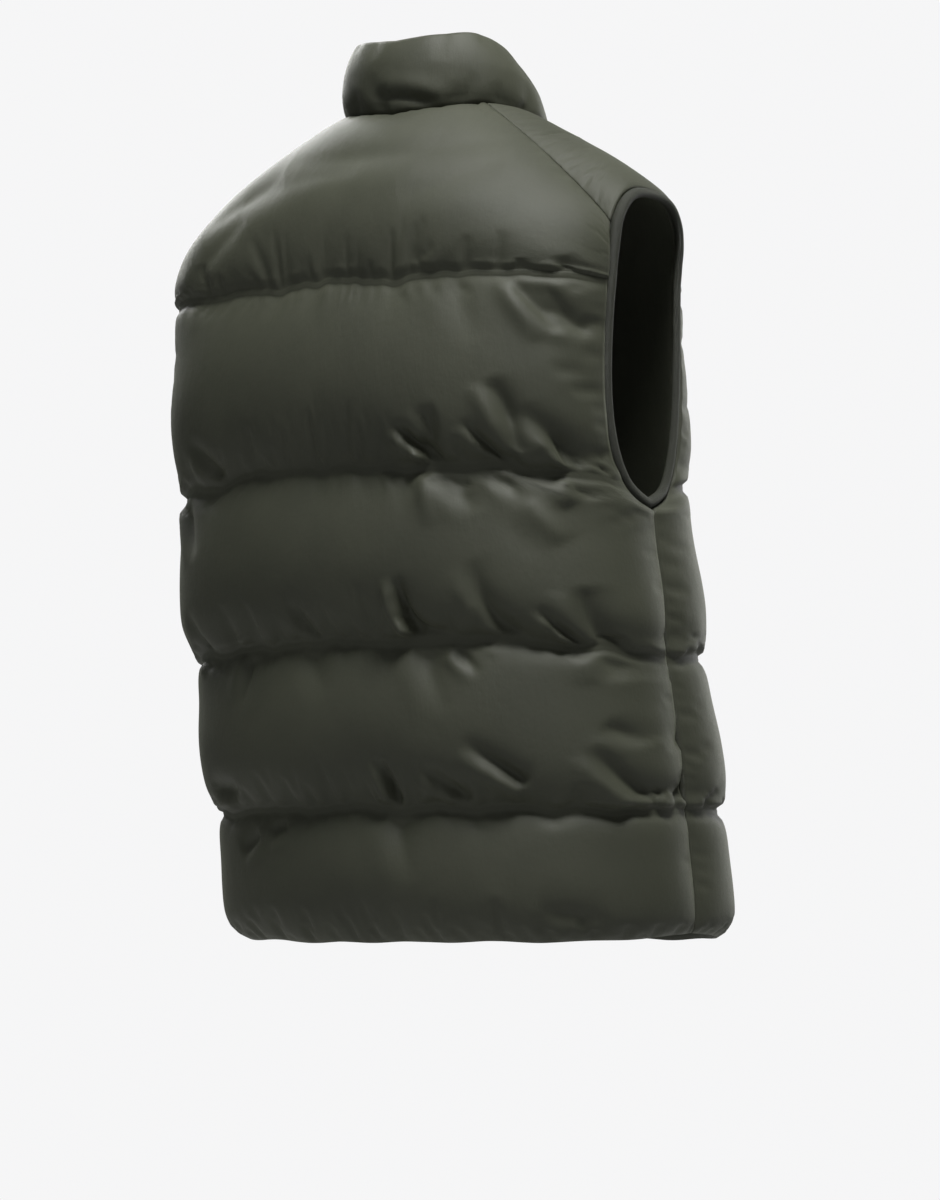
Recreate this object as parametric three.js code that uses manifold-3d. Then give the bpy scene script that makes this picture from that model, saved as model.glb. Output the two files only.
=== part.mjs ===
// A worn, hollow puffer vest: quilted body panels, stand collar, bound armholes and a closed front zip.
// Millimetres, +Z up, the front faces -Y, the wearer's left is +X.
// The origin lies midway between the two shoulders, level with the middle of the shoulder line.

import * as THREE from "three";
import { mergeVertices } from "three/addons/utils/BufferGeometryUtils.js";
import Module from "manifold-3d";

const wasm = await Module();
wasm.setup();

// Driving sizes
const SEAM_GAP = 0.3; // between neighbouring pieces
const BAND_CLOTH = 3; // shell and lining pressed together at a quilt band
const BAND_HALF = 7; // half the height of a quilt band
const EDGE_CLOTH = 5; // cloth at armhole, neck and zip edges
const HEM_LEVEL = -638;
const QUILT_LEVELS = [-533, -404, -270, -122]; // from the hem up
const CHEST_LEVEL = QUILT_LEVELS[3];
const PUFF = { body: 20, chest: 17, hem: 17, shoulder: 6 };
const SHOULDER_EASE = 1.7; // how soon the chest puff goes over into the shoulder puff
const ZIP_HALF = 9; // centre line to the edge of a front panel

// The figure's plain inner face below the chest line, a row for each level section
const BODY_SECTIONS = [
  { level: -638, halfWidth: 192, back: 98, front: -174, centreY: -36, shiftX: -27 },
  { level: -533, halfWidth: 195, back: 107, front: -167, centreY: -27, shiftX: -20 },
  { level: -404, halfWidth: 197, back: 119, front: -153, centreY: -14, shiftX: -8 },
  { level: -290, halfWidth: 197, back: 127, front: -142, centreY: -6, shiftX: -1 },
  { level: -200, halfWidth: 203, back: 129, front: -134, centreY: -4, shiftX: 0 },
  { level: -122, halfWidth: 208, back: 126, front: -124, centreY: -2, shiftX: 0 },
];
const SECTION_SQUARE = 2.5; // 2 is an ellipse

const ARMHOLE = {
  centreY: -6,
  centreLevel: -166,
  halfDepth: 61,
  rise: 118,
  drop: 130,
  topSquare: 3,
  bottomSquare: 2.4,
  tipX: 199,
  tipLevel: -59, // above it the edge is level with the shoulder's tip
  seamLevel: -79, // where the shoulder seam ends, on the back edge
};
const UNDERARM_LEVEL = ARMHOLE.centreLevel - ARMHOLE.drop;
const UNDERARM_ROW_LEVEL = UNDERARM_LEVEL + 10; // of the row that sags down to the underarm

// The neck seam, a row for each direction round the neck, 0 at the back
const NECK_RADIUS = 74;
const NECK_CENTRE_Y = -30;
const NECK_SEAM = [
  { turn: 0, level: 26 },
  { turn: 30, level: 30 },
  { turn: 53, level: 33 },
  { turn: 90, level: 25 },
  { turn: 120, level: 7 },
  { turn: 150, level: -25 },
  { turn: 180, level: -44 },
];
const SHOULDER_TURN = 53; // where the shoulder seam meets the neck
const FRONT_TURN = 180 - THREE.MathUtils.radToDeg(Math.asin(ZIP_HALF / NECK_RADIUS));

// How far the yoke stands off the straight line from neck to armhole, from chest to shoulder seam
const YOKE_BOW = [
  { rise: 0, forward: 18, up: 0 },
  { rise: 0.35, forward: 16, up: 7 },
  { rise: 0.7, forward: 0, up: 9 },
  { rise: 1, forward: -4, up: 6 },
];
const NECK_POINT_RISE = 0.36; // the part of the rise taken by the centre front edge
const YOKE = {
  zipBow: 4, // the centre front edge between chest line and neck
  armholeEase: 1.15, // 1 spaces the rows evenly round the armhole
  chestFade: 0.18, // the part of the rise over which the chest section fades
  bendAcross: 0.45,
  bendBack: -3,
  bendUp: 0.54,
  edgeEase: 5,
};

// How much of a puff is left at an edge, and the distance over which it comes back
const EDGE_FALL = {
  side: { kept: 0.45, reach: 12 },
  armhole: { kept: 0.3, reach: 14 },
  yoke: { kept: 0.35, reach: 14 },
  zip: { kept: 0.06, reach: 12 },
};
const PANEL_REACH = 245; // along the cloth from the centre to the outer edge

// The collar, a row for each direction round the neck
const COLLAR = [
  { turn: 0, height: 58, lean: 6, puff: 12 },
  { turn: 45, height: 57, lean: 9, puff: 11 },
  { turn: 90, height: 49, lean: 20, puff: 11 },
  { turn: 135, height: 47, lean: 32, puff: 11 },
  { turn: 180, height: 50, lean: 30, puff: 7 },
];
const COLLAR_CLOTH = 5; // at its seam and its top edge
const COLLAR_LIFT = 1.8; // above the neck seam
const COLLAR_OUTER = [0, 0.1, 0.28, 0.5, 0.72, 0.9, 1]; // shares of its height
const COLLAR_INNER = [0.97, 0.5, 0.03];
const COLLAR_LOOPS = 46;

// The binding's section: how far into the armhole, and how high over the panels' inner face
const BINDING_PROFILE = [
  { inTo: 0.6, height: 0 },
  { inTo: 4.5, height: -1.2 },
  { inTo: 9, height: 0.6 },
  { inTo: 9.6, height: 3 },
  { inTo: 9, height: 5 },
  { inTo: 4.5, height: 6 },
  { inTo: 0.6, height: 3.5 },
];

// The zip: a tape on each side of the centre, a slider at the top and its pull tab
const TAPE = { inner: 0.4, outer: 8.6, back: 0.4, front: 2 };
const SLIDER = { wide: 9.6, tall: 13, deep: 3.6, share: 0.8 };
const BRIDGE = { wide: 3, half: 4.4, high: 4.6, windowHalf: 1.8, windowLow: 0.5, windowHigh: 3.3 };
const PULL = { wide: 8, long: 32, thick: 1.6, windowHalf: 2.5, windowLong: 7.4 };

// The largest folds, as soft troughs from one point to another on a panel seen from straight behind or
// before it. The share is how much of the puff the trough takes
const BACK_FOLDS = [
  { fromX: -152, fromZ: -122, toX: -189, toZ: -181, reach: 10, share: 0.5 },
  { fromX: -145, fromZ: -213, toX: -158, toZ: -262, reach: 9, share: 0.45 },
  { fromX: -162, fromZ: -230, toX: -194, toZ: -288, reach: 11, share: 0.6 },
  { fromX: -69, fromZ: -240, toX: -90, toZ: -262, reach: 11, share: 0.6 },
  { fromX: -100, fromZ: -280, toX: -124, toZ: -305, reach: 10, share: 0.4 },
  { fromX: -66, fromZ: -362, toX: -80, toZ: -424, reach: 11, share: 0.65 },
  { fromX: -125, fromZ: -348, toX: -149, toZ: -402, reach: 10, share: 0.5 },
  { fromX: -195, fromZ: -372, toX: -211, toZ: -433, reach: 10, share: 0.5 },
  { fromX: -117, fromZ: -486, toX: -152, toZ: -510, reach: 10, share: 0.5 },
  { fromX: -76, fromZ: -500, toX: -106, toZ: -520, reach: 10, share: 0.5 },
  { fromX: -46, fromZ: -512, toX: -48, toZ: -556, reach: 10, share: 0.6 },
  { fromX: 148, fromZ: -514, toX: 112, toZ: -519, reach: 10, share: 0.5 },
  { fromX: 36, fromZ: -385, toX: 20, toZ: -428, reach: 10, share: 0.5 },
  { fromX: 152, fromZ: -236, toX: 120, toZ: -262, reach: 11, share: 0.5 },
];
const LEFT_FOLDS = [
  { fromX: 60, fromZ: -232, toX: 84, toZ: -262, reach: 11, share: 0.55 },
  { fromX: 150, fromZ: -300, toX: 128, toZ: -345, reach: 11, share: 0.5 },
  { fromX: 96, fromZ: -372, toX: 74, toZ: -428, reach: 11, share: 0.6 },
  { fromX: 40, fromZ: -500, toX: 62, toZ: -528, reach: 11, share: 0.55 },
];
const RIGHT_FOLDS = [
  { fromX: -128, fromZ: -212, toX: -100, toZ: -258, reach: 11, share: 0.55 },
  { fromX: -52, fromZ: -290, toX: -78, toZ: -330, reach: 11, share: 0.5 },
  { fromX: -160, fromZ: -368, toX: -140, toZ: -420, reach: 11, share: 0.6 },
  { fromX: -84, fromZ: -508, toX: -116, toZ: -560, reach: 11, share: 0.55 },
];

// Quilt lines sag a little under the arms, a row for each level
const LINE_SAG = [
  { level: -638, sag: 0 },
  { level: -533, sag: 3 },
  { level: -404, sag: 12 },
  { level: -270, sag: 12 },
  { level: -122, sag: 3 },
];

const SHELL = new THREE.MeshStandardMaterial({ color: 0x474a3d, roughness: 0.62, metalness: 0 });
const TRIM = new THREE.MeshStandardMaterial({ color: 0x3f4237, roughness: 0.7, metalness: 0 });
const WEBBING = new THREE.MeshStandardMaterial({ color: 0x2b2d26, roughness: 0.85, metalness: 0 });
const METAL = new THREE.MeshStandardMaterial({ color: 0x2a2b29, roughness: 0.4, metalness: 0.9 });

const clamp = THREE.MathUtils.clamp;
const lerp = THREE.MathUtils.lerp;
const vec = (x, y, z) => new THREE.Vector3(x, y, z);

// A smooth value between the rows of a table, by Hermite spans
function fromTable(table, key, at, name) {
  const last = table.length - 1;
  const t = clamp(at, Math.min(table[0][key], table[last][key]), Math.max(table[0][key], table[last][key]));
  let k = 0;
  while (k < last - 1 && t > table[k + 1][key]) k += 1;
  const slope = (i) => {
    const a = table[Math.max(i - 1, 0)];
    const b = table[Math.min(i + 1, last)];
    return (b[name] - a[name]) / (b[key] - a[key]);
  };
  const span = table[k + 1][key] - table[k][key];
  const u = (t - table[k][key]) / span;
  const keep = 2 * u ** 3 - 3 * u ** 2 + 1;
  return (
    keep * table[k][name] +
    (1 - keep) * table[k + 1][name] +
    (u ** 3 - 2 * u ** 2 + u) * span * slope(k) +
    (u ** 3 - u ** 2) * span * slope(k + 1)
  );
}

// A point of the inner face below the chest line, at a polar angle from the centre back
function bodyPoint(angle, level) {
  const of = (name) => fromTable(BODY_SECTIONS, "level", level, name);
  const turn = THREE.MathUtils.degToRad(angle);
  const across = Math.sin(turn);
  const deep = Math.cos(turn);
  const reach = deep > 0 ? of("back") - of("centreY") : of("centreY") - of("front");
  const radius =
    (Math.abs(across / of("halfWidth")) ** SECTION_SQUARE + Math.abs(deep / reach) ** SECTION_SQUARE) **
    (-1 / SECTION_SQUARE);
  return vec(of("shiftX") + radius * across, of("centreY") + radius * deep, level);
}

// How far the armhole's edge is from its middle at a level, front to back
function armholeHalf(level) {
  const up = level > ARMHOLE.centreLevel;
  const reach = up ? ARMHOLE.rise : ARMHOLE.drop;
  const square = up ? ARMHOLE.topSquare : ARMHOLE.bottomSquare;
  const share = clamp(Math.abs(level - ARMHOLE.centreLevel) / reach, 0, 1);
  return ARMHOLE.halfDepth * (1 - share ** square) ** (1 / square);
}

// The polar angle of a panel's outer edge: the side seam, or the armhole above it
const foundEdges = new Map();
function edgeAngle(level, isBack) {
  if (level <= UNDERARM_LEVEL) return 90;
  const key = `${level.toFixed(3)} ${isBack}`;
  if (!foundEdges.has(key)) foundEdges.set(key, findEdgeAngle(level, isBack));
  return foundEdges.get(key);
}

function findEdgeAngle(level, isBack) {
  const wanted = ARMHOLE.centreY + (isBack ? 1 : -1) * armholeHalf(level);
  let low = isBack ? 40 : 90;
  let high = isBack ? 90 : 140;
  for (let i = 0; i < 30; i += 1) {
    const middle = (low + high) / 2;
    if (bodyPoint(middle, level).y > wanted) low = middle;
    else high = middle;
  }
  return (low + high) / 2;
}

function sagAt(angle, level) {
  return fromTable(LINE_SAG, "level", level, "sag") * Math.sin(THREE.MathUtils.degToRad(angle)) ** 6;
}

// The armhole's edge above the chest line, by its way round in degrees: 0 back, 90 top, 180 front
function armholeTop(way) {
  const turn = THREE.MathUtils.degToRad(way);
  const bend = 2 / ARMHOLE.topSquare;
  const forward = Math.sign(Math.cos(turn)) * Math.abs(Math.cos(turn)) ** bend;
  const level = ARMHOLE.centreLevel + ARMHOLE.rise * Math.sin(turn) ** bend;
  const chest = bodyPoint(edgeAngle(CHEST_LEVEL, way < 90), CHEST_LEVEL);
  const share = THREE.MathUtils.smoothstep(level, CHEST_LEVEL, ARMHOLE.tipLevel);
  return vec(lerp(chest.x, ARMHOLE.tipX, share), ARMHOLE.centreY + ARMHOLE.halfDepth * forward, level);
}

// The way round the armhole at which its edge has a level
function armholeWay(level, isBack) {
  const share = ((level - ARMHOLE.centreLevel) / ARMHOLE.rise) ** (ARMHOLE.topSquare / 2);
  const way = THREE.MathUtils.radToDeg(Math.asin(clamp(share, 0, 1)));
  return isBack ? way : 180 - way;
}

function neckPoint(turn) {
  const a = THREE.MathUtils.degToRad(turn);
  return vec(
    NECK_RADIUS * Math.sin(a),
    NECK_CENTRE_Y + NECK_RADIUS * Math.cos(a),
    fromTable(NECK_SEAM, "turn", turn, "level"),
  );
}

// A point of a front panel's inner face: across is 0 at the zip and neck, 1 at the side and armhole
function frontLower(across, level) {
  const centre = bodyPoint(180, level);
  const fromCentre = fromTable(BODY_SECTIONS, "level", level, "centreY") - centre.y;
  const start = 180 - THREE.MathUtils.radToDeg(Math.atan(ZIP_HALF / fromCentre));
  let edge = edgeAngle(level, false);
  for (let i = 0; i < 4; i += 1) edge = edgeAngle(level - sagAt(edge, level), false);
  const angle = lerp(start, edge, across);
  return bodyPoint(angle, level - sagAt(angle, level));
}

function frontUpper(across, rise) {
  const chestEdge = frontLower(0, CHEST_LEVEL);
  const neckFront = neckPoint(FRONT_TURN);
  const inner =
    rise < NECK_POINT_RISE
      ? chestEdge.clone().lerp(neckFront, rise / NECK_POINT_RISE)
      : neckPoint(lerp(FRONT_TURN, SHOULDER_TURN, (rise - NECK_POINT_RISE) / (1 - NECK_POINT_RISE)));
  if (rise < NECK_POINT_RISE) inner.y -= YOKE.zipBow * Math.sin((Math.PI * rise) / NECK_POINT_RISE);
  const from = armholeWay(frontLower(1, CHEST_LEVEL).z, false);
  const outer = armholeTop(lerp(from, armholeWay(ARMHOLE.seamLevel, true), rise ** YOKE.armholeEase));
  const belly = 4 * across * (1 - across);
  const point = inner.lerp(outer, across);
  point.y -= belly * fromTable(YOKE_BOW, "rise", rise, "forward");
  point.z += belly * fromTable(YOKE_BOW, "rise", rise, "up");
  if (rise > 0) {
    const fade = Math.exp(-((rise / YOKE.chestFade) ** 2));
    const base = frontLower(across, CHEST_LEVEL).sub(frontUpper(across, 0));
    return point.addScaledVector(base, fade);
  }
  return point;
}

const frontPoint = (across, row) =>
  row.rise > 0 ? frontUpper(across, row.rise) : frontLower(across, row.level);

// A point of the back panel's inner face: across is 0 at the centre and 1 at the side or armhole
const NECK_SHARE = 0.34; // the part of the back's half width that ends at the neck

function backLower(across, level) {
  let edge = edgeAngle(level, true);
  for (let i = 0; i < 4; i += 1) edge = edgeAngle(level - sagAt(edge, level), true);
  const angle = edge * across;
  return bodyPoint(angle, level - sagAt(angle, level));
}

function backTopEdge(across) {
  if (across <= NECK_SHARE) return neckPoint((SHOULDER_TURN * across) / NECK_SHARE);
  return frontUpper((across - NECK_SHARE) / (1 - NECK_SHARE), 1);
}

function backUpper(across, rise) {
  const column = (share) => {
    const start = backLower(share, CHEST_LEVEL);
    const end = backTopEdge(share);
    const bend = vec(
      lerp(start.x, end.x, YOKE.bendAcross),
      start.y + YOKE.bendBack,
      lerp(start.z, end.z, YOKE.bendUp),
    );
    return start
      .multiplyScalar((1 - rise) ** 2)
      .addScaledVector(bend, 2 * rise * (1 - rise))
      .addScaledVector(end, rise ** 2);
  };
  const way = lerp(armholeWay(backLower(1, CHEST_LEVEL).z, true), armholeWay(ARMHOLE.seamLevel, true), rise);
  const correction = armholeTop(way).sub(column(1));
  return column(across).addScaledVector(correction, across ** YOKE.edgeEase);
}

const backPoint = (across, row) =>
  row.rise > 0 ? backUpper(across, row.rise) : backLower(across, row.level);

// Outward direction of a panel at one point, from its neighbours
function facing(point, across, row, isBack) {
  const step = { share: 0.004, level: 0.8 };
  const side = point(across + step.share, row).sub(point(across - step.share, row));
  const moved = (way) =>
    row.rise > 0
      ? { ...row, rise: row.rise + way * step.share }
      : { ...row, level: row.level + way * step.level };
  const up = point(across, moved(1)).sub(point(across, moved(-1)));
  const normal = side.cross(up).normalize();
  return isBack ? normal.negate() : normal;
}

// At the neck a panel's edge is level, so that the collar can stand on it
function neckFacing(turn) {
  const a = THREE.MathUtils.degToRad(turn);
  return vec(Math.sin(a), Math.cos(a), 0);
}

const AT_EDGE = 0.001; // a share nearer an edge than this is on it

// Both panels share one direction along the shoulder seam
const SHOULDER_ROW = { rise: 1 };
function shoulderFacing(across) {
  if (across < AT_EDGE) return neckFacing(SHOULDER_TURN);
  const onFront = facing(frontPoint, across, SHOULDER_ROW, false);
  const onBack = facing(backPoint, NECK_SHARE + (1 - NECK_SHARE) * across, SHOULDER_ROW, true);
  return onFront.add(onBack).normalize();
}

function frontFacing(across, row) {
  if (row.rise >= 1) return shoulderFacing(across);
  if (across < AT_EDGE && row.rise >= NECK_POINT_RISE) {
    return neckFacing(lerp(FRONT_TURN, SHOULDER_TURN, (row.rise - NECK_POINT_RISE) / (1 - NECK_POINT_RISE)));
  }
  if (across < AT_EDGE) return facing(frontPoint, across, row, false).setX(0).normalize();
  return facing(frontPoint, across, row, false);
}

function backFacing(across, row) {
  if (row.rise >= 1 && across <= NECK_SHARE) return neckFacing((SHOULDER_TURN * across) / NECK_SHARE);
  if (row.rise >= 1) return shoulderFacing((across - NECK_SHARE) / (1 - NECK_SHARE));
  return facing(backPoint, across, row, true);
}

// Rows of a panel from hem to top, at shares of each channel's height
const CHANNEL_STEPS = [0, 0.09, 0.26, 0.46, 0.66, 0.86, 1];
const UNDERARM_CHANNEL = 2;
const UNDERARM_STEPS = [0, 0.09, 0.28, 0.48, 0.68, 0.86, 0.955, 1];
const BAND_RISE = 0.045;
// A channel is flat at its bands and fullest below its middle
const yokeFullness = (share) => Math.sin(Math.PI * clamp(share, 0, 1) ** 0.62) ** 0.9;
const fullness = (share) => Math.sin(Math.PI * clamp(share, 0, 1) ** 0.82) ** 0.75;

function panelRows(upperSteps) {
  const rows = [];
  const bottoms = [HEM_LEVEL, ...QUILT_LEVELS.slice(0, 3).map((level) => level + BAND_HALF)];
  bottoms.forEach((bottom, k) => {
    const top = QUILT_LEVELS[k] - BAND_HALF;
    const shares = k === UNDERARM_CHANNEL ? UNDERARM_STEPS : CHANNEL_STEPS;
    shares.forEach((share) =>
      rows.push({
        level: lerp(bottom, top, share),
        rise: 0,
        puff: fullness(share) * (k === 0 ? PUFF.hem : PUFF.body),
      }),
    );
  });
  upperSteps.forEach((share) => rows.push({ rise: lerp(BAND_RISE, 1, share), share }));
  return rows;
}

// A closed wall from a grid of outer points over inner points with half the columns
function wall(outer, inner) {
  const rows = outer.length;
  const columns = outer[0].length;
  const innerColumns = inner[0].length;
  const o = (j, i) => j * columns + i;
  const n = (j, i) => rows * columns + j * innerColumns + i / 2;
  const faces = [];
  for (let j = 0; j < rows - 1; j += 1) {
    for (let i = 0; i < columns - 1; i += 1) {
      faces.push([o(j, i), o(j, i + 1), o(j + 1, i + 1)], [o(j, i), o(j + 1, i + 1), o(j + 1, i)]);
    }
    for (let i = 0; i < columns - 1; i += 2) {
      faces.push([n(j, i), n(j + 1, i + 2), n(j, i + 2)], [n(j, i), n(j + 1, i), n(j + 1, i + 2)]);
    }
    const last = columns - 1;
    faces.push([o(j, last), n(j, last), n(j + 1, last)], [o(j, last), n(j + 1, last), o(j + 1, last)]);
    faces.push([o(j, 0), n(j + 1, 0), n(j, 0)], [o(j, 0), o(j + 1, 0), n(j + 1, 0)]);
  }
  for (let i = 0; i < columns - 1; i += 2) {
    const t = rows - 1;
    faces.push([o(0, i), n(0, i), o(0, i + 1)], [o(0, i + 1), n(0, i + 2), o(0, i + 2)]);
    faces.push([o(0, i + 1), n(0, i), n(0, i + 2)]);
    faces.push([o(t, i), o(t, i + 1), n(t, i)], [o(t, i + 1), o(t, i + 2), n(t, i + 2)]);
    faces.push([o(t, i + 1), n(t, i + 2), n(t, i)]);
  }
  return solid([...outer.flat(), ...inner.flat()], faces);
}

// Triangles across a flat loop, each turned the same way round as the loop
function capOf(loop) {
  const normal = vec(0, 0, 0);
  loop.forEach((p, i) => normal.add(p.clone().cross(loop[(i + 1) % loop.length])));
  const across = loop[1].clone().sub(loop[0]).normalize();
  const up = normal.normalize().clone().cross(across);
  const flat = loop.map((p) => new THREE.Vector2(p.dot(across), p.dot(up)));
  return THREE.ShapeUtils.triangulateShape(flat, []).map(([a, b, c]) => {
    const isSame = THREE.ShapeUtils.area([flat[a], flat[b], flat[c]]) > 0;
    return isSame ? [a, b, c] : [a, c, b];
  });
}

// A solid through closed loops of points, in a ring or with its ends closed
function loft(loops, isRing) {
  const count = loops[0].length;
  const faces = [];
  const spans = isRing ? loops.length : loops.length - 1;
  for (let j = 0; j < spans; j += 1) {
    const k = (j + 1) % loops.length;
    for (let i = 0; i < count; i += 1) {
      const m = (i + 1) % count;
      const [a, b, c, d] = [j * count + i, j * count + m, k * count + m, k * count + i];
      faces.push([a, b, c], [a, c, d]);
    }
  }
  if (!isRing) {
    const end = (loops.length - 1) * count;
    capOf(loops[0]).forEach(([a, b, c]) => faces.push([a, c, b]));
    capOf(loops[loops.length - 1]).forEach(([a, b, c]) => faces.push([end + a, end + b, end + c]));
  }
  return solid(loops.flat(), faces);
}

function solid(points, faces) {
  const geometry = new THREE.BufferGeometry();
  const flat = points.flatMap((p) => [p.x, p.y, p.z]);
  geometry.setAttribute("position", new THREE.Float32BufferAttribute(flat, 3));
  const volume = faces.reduce((sum, [a, b, c]) => sum + points[a].dot(points[b].clone().cross(points[c])), 0);
  geometry.setIndex(faces.flatMap(([a, b, c]) => (volume < 0 ? [a, c, b] : [a, b, c])));
  geometry.computeVertexNormals();
  return geometry;
}

// Draws a grid's rim in by half the seam gap, so that neighbours stay apart
function drawIn(grid) {
  const lastRow = grid.length - 1;
  const lastColumn = grid[0].length - 1;
  const pull = (from, to) => from.add(to.clone().sub(from).setLength(SEAM_GAP / 2));
  grid.forEach((row) => {
    pull(row[0], row[1]);
    pull(row[lastColumn], row[lastColumn - 1]);
  });
  grid[0].forEach((p, i) => pull(p, grid[1][i]));
  grid[lastRow].forEach((p, i) => pull(p, grid[lastRow - 1][i]));
}

// The garment leans a little to the wearer's right below the chest
const shiftAt = (level) => (level < CHEST_LEVEL ? fromTable(BODY_SECTIONS, "level", level, "shiftX") : 0);
const mirrored = (p) => p.setX(2 * shiftAt(p.z) - p.x);

// How much of the puff is left at a point among some folds
function keptByFolds(p, folds) {
  const at = vec(p.x, 0, p.z);
  return folds.reduce((kept, fold) => {
    const line = new THREE.Line3(vec(fold.fromX, 0, fold.fromZ), vec(fold.toX, 0, fold.toZ));
    const distance = line.closestPointToPoint(at, true, vec(0, 0, 0)).distanceTo(at);
    return kept * (1 - fold.share * Math.exp(-((distance / fold.reach) ** 2)));
  }, 1);
}

function panelGrids({ point, facingAt, clothAt, puffAt, rows, columns, folds, isRight }) {
  const outer = rows.map((row) =>
    columns.map((across) => {
      const a = Math.abs(across);
      const base = point(a, row);
      const facing = facingAt(a, row);
      if (across < 0 || isRight) {
        mirrored(base);
        facing.x = -facing.x;
      }
      const puff = puffAt(a, row) * keptByFolds(base, folds);
      return base.addScaledVector(facing, clothAt(row) + puff);
    }),
  );
  const inner = rows.map((row) =>
    columns
      .filter((_, i) => i % 2 === 0)
      .map((across) => {
        const base = point(Math.abs(across), row);
        return across < 0 || isRight ? mirrored(base) : base;
      }),
  );
  drawIn(outer);
  drawIn(inner);
  return { outer, inner };
}

// How much of a puff is left at a share of the panel's reach from an edge
const nearEdge = (share, { kept, reach }) => 1 - (1 - kept) * Math.exp((-share * PANEL_REACH) / reach);
const sideFall = (level) => (level > UNDERARM_ROW_LEVEL ? EDGE_FALL.armhole : EDGE_FALL.side);

const clothAt = (row) => (row.rise === 0 ? BAND_CLOTH : lerp(BAND_CLOTH, EDGE_CLOTH, row.share ** 4));

function backPuff(across, row) {
  if (row.rise === 0) return row.puff * nearEdge(1 - across, sideFall(row.level));
  return yokeFullness(row.share) * PUFF.chest * nearEdge(1 - across, EDGE_FALL.yoke);
}

function frontPuff(across, row) {
  const besideZip = nearEdge(across, EDGE_FALL.zip);
  if (row.rise === 0) return row.puff * nearEdge(1 - across, sideFall(row.level)) * besideZip;
  const tall = lerp(PUFF.chest, PUFF.shoulder, clamp(row.share * SHOULDER_EASE, 0, 1));
  return fullness(row.share) * tall * nearEdge(1 - across, EDGE_FALL.yoke) * besideZip;
}

const steps = (from, to, count) => Array.from({ length: count + 1 }, (_, i) => lerp(from, to, i / count));

const BACK_COLUMNS = 36;
const BACK_UPPER = [0, 0.14, 0.32, 0.5, 0.68, 0.86, 1];
const FRONT_COLUMNS = 14;
const FRONT_UPPER = [0, 0.08, 0.17, 0.26, 0.34, 0.45, 0.56, 0.68, 0.8, 0.9, 1];

const backGrids = panelGrids({
  point: backPoint,
  facingAt: backFacing,
  clothAt,
  puffAt: backPuff,
  rows: panelRows(BACK_UPPER),
  columns: steps(-1, 1, BACK_COLUMNS),
  folds: BACK_FOLDS,
});

const frontSide = (folds, isRight) =>
  panelGrids({
    point: frontPoint,
    facingAt: frontFacing,
    clothAt,
    puffAt: frontPuff,
    rows: panelRows(FRONT_UPPER),
    columns: steps(0, 1, FRONT_COLUMNS),
    folds,
    isRight,
  });
const leftGrids = frontSide(LEFT_FOLDS, false);
const rightGrids = frontSide(RIGHT_FOLDS, true);


// The collar stands on the neck seam and leans in towards its top
function collarLoop(turn) {
  const of = (name) => fromTable(COLLAR, "turn", Math.abs(turn), name);
  const foot = neckPoint(Math.abs(turn));
  const away = neckFacing(Math.abs(turn));
  const at = (share, out) => {
    const p = foot.clone().addScaledVector(away, out - of("lean") * share ** 1.3);
    p.z += COLLAR_LIFT + share * of("height");
    if (Math.abs(turn) > FRONT_TURN - 0.01) p.x = ZIP_HALF + SEAM_GAP / 2;
    if (turn < 0) p.x = -p.x;
    return p;
  };
  const puffed = (share) => COLLAR_CLOTH + of("puff") * Math.sin(Math.PI * share) ** 0.6;
  const outerSide = COLLAR_OUTER.map((share) => at(share, puffed(share * 0.93)));
  const innerSide = COLLAR_INNER.map((share) => at(share, 0));
  return [...outerSide, ...innerSide];
}

const collarLoops = steps(-FRONT_TURN, FRONT_TURN, COLLAR_LOOPS).map(collarLoop);

// The binding follows the armhole's own edge points, from the underarm up the back and down the front
function armholeEdge() {
  const edgeOf = ({ outer, inner }) =>
    outer.map((row, j) => ({ outer: row[row.length - 1], inner: inner[j][inner[j].length - 1] }));
  const corner = edgeOf(backGrids).findIndex((point) => point.inner.z > UNDERARM_LEVEL + 1) - 1;
  const back = edgeOf(backGrids).slice(corner);
  const front = edgeOf(leftGrids).slice(corner + 1);
  return [...back, ...front.reverse()];
}

function bindingLoops() {
  const edge = armholeEdge();
  const count = edge.length;
  const middle = edge.reduce((sum, e) => sum.add(e.inner), vec(0, 0, 0)).divideScalar(count);
  return edge.map((here, i) => {
    const along = edge[(i + 1) % count].inner.clone().sub(edge[(i + count - 1) % count].inner).normalize();
    const out = here.outer.clone().sub(here.inner);
    out.addScaledVector(along, -out.dot(along)).normalize();
    const into = along.clone().cross(out).normalize();
    if (into.dot(middle.clone().sub(here.inner)) < 0) into.negate();
    return BINDING_PROFILE.map(({ inTo, height }) =>
      here.inner.clone().addScaledVector(into, inTo).addScaledVector(out, height),
    );
  });
}

// The zip's centre line: up the front panels' edges and the collar's ends
function zipPath() {
  const upTo = panelRows(FRONT_UPPER).findIndex((row) => row.rise > NECK_POINT_RISE);
  const ends = collarLoops[collarLoops.length - 1].slice(COLLAR_OUTER.length).reverse();
  const path = [...leftGrids.inner.slice(0, upTo).map((row) => row[0]), ...ends];
  return path.map((p) => vec(shiftAt(p.z), p.y, p.z));
}

function zipFrame(path, i) {
  const up = path[Math.min(i + 1, path.length - 1)].clone().sub(path[Math.max(i - 1, 0)]).setX(0).normalize();
  return { up, out: vec(0, -up.z, up.y) };
}

function zipTape(side) {
  const path = zipPath();
  const loops = path.map((p, i) => {
    const { out } = zipFrame(path, i);
    const corner = (across, height) => p.clone().addScaledVector(out, height).add(vec(side * across, 0, 0));
    return [
      corner(TAPE.inner, TAPE.back),
      corner(TAPE.outer, TAPE.back),
      corner(TAPE.outer, TAPE.front),
      corner(TAPE.inner, TAPE.front),
    ];
  });
  return loft(loops, false);
}

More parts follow.
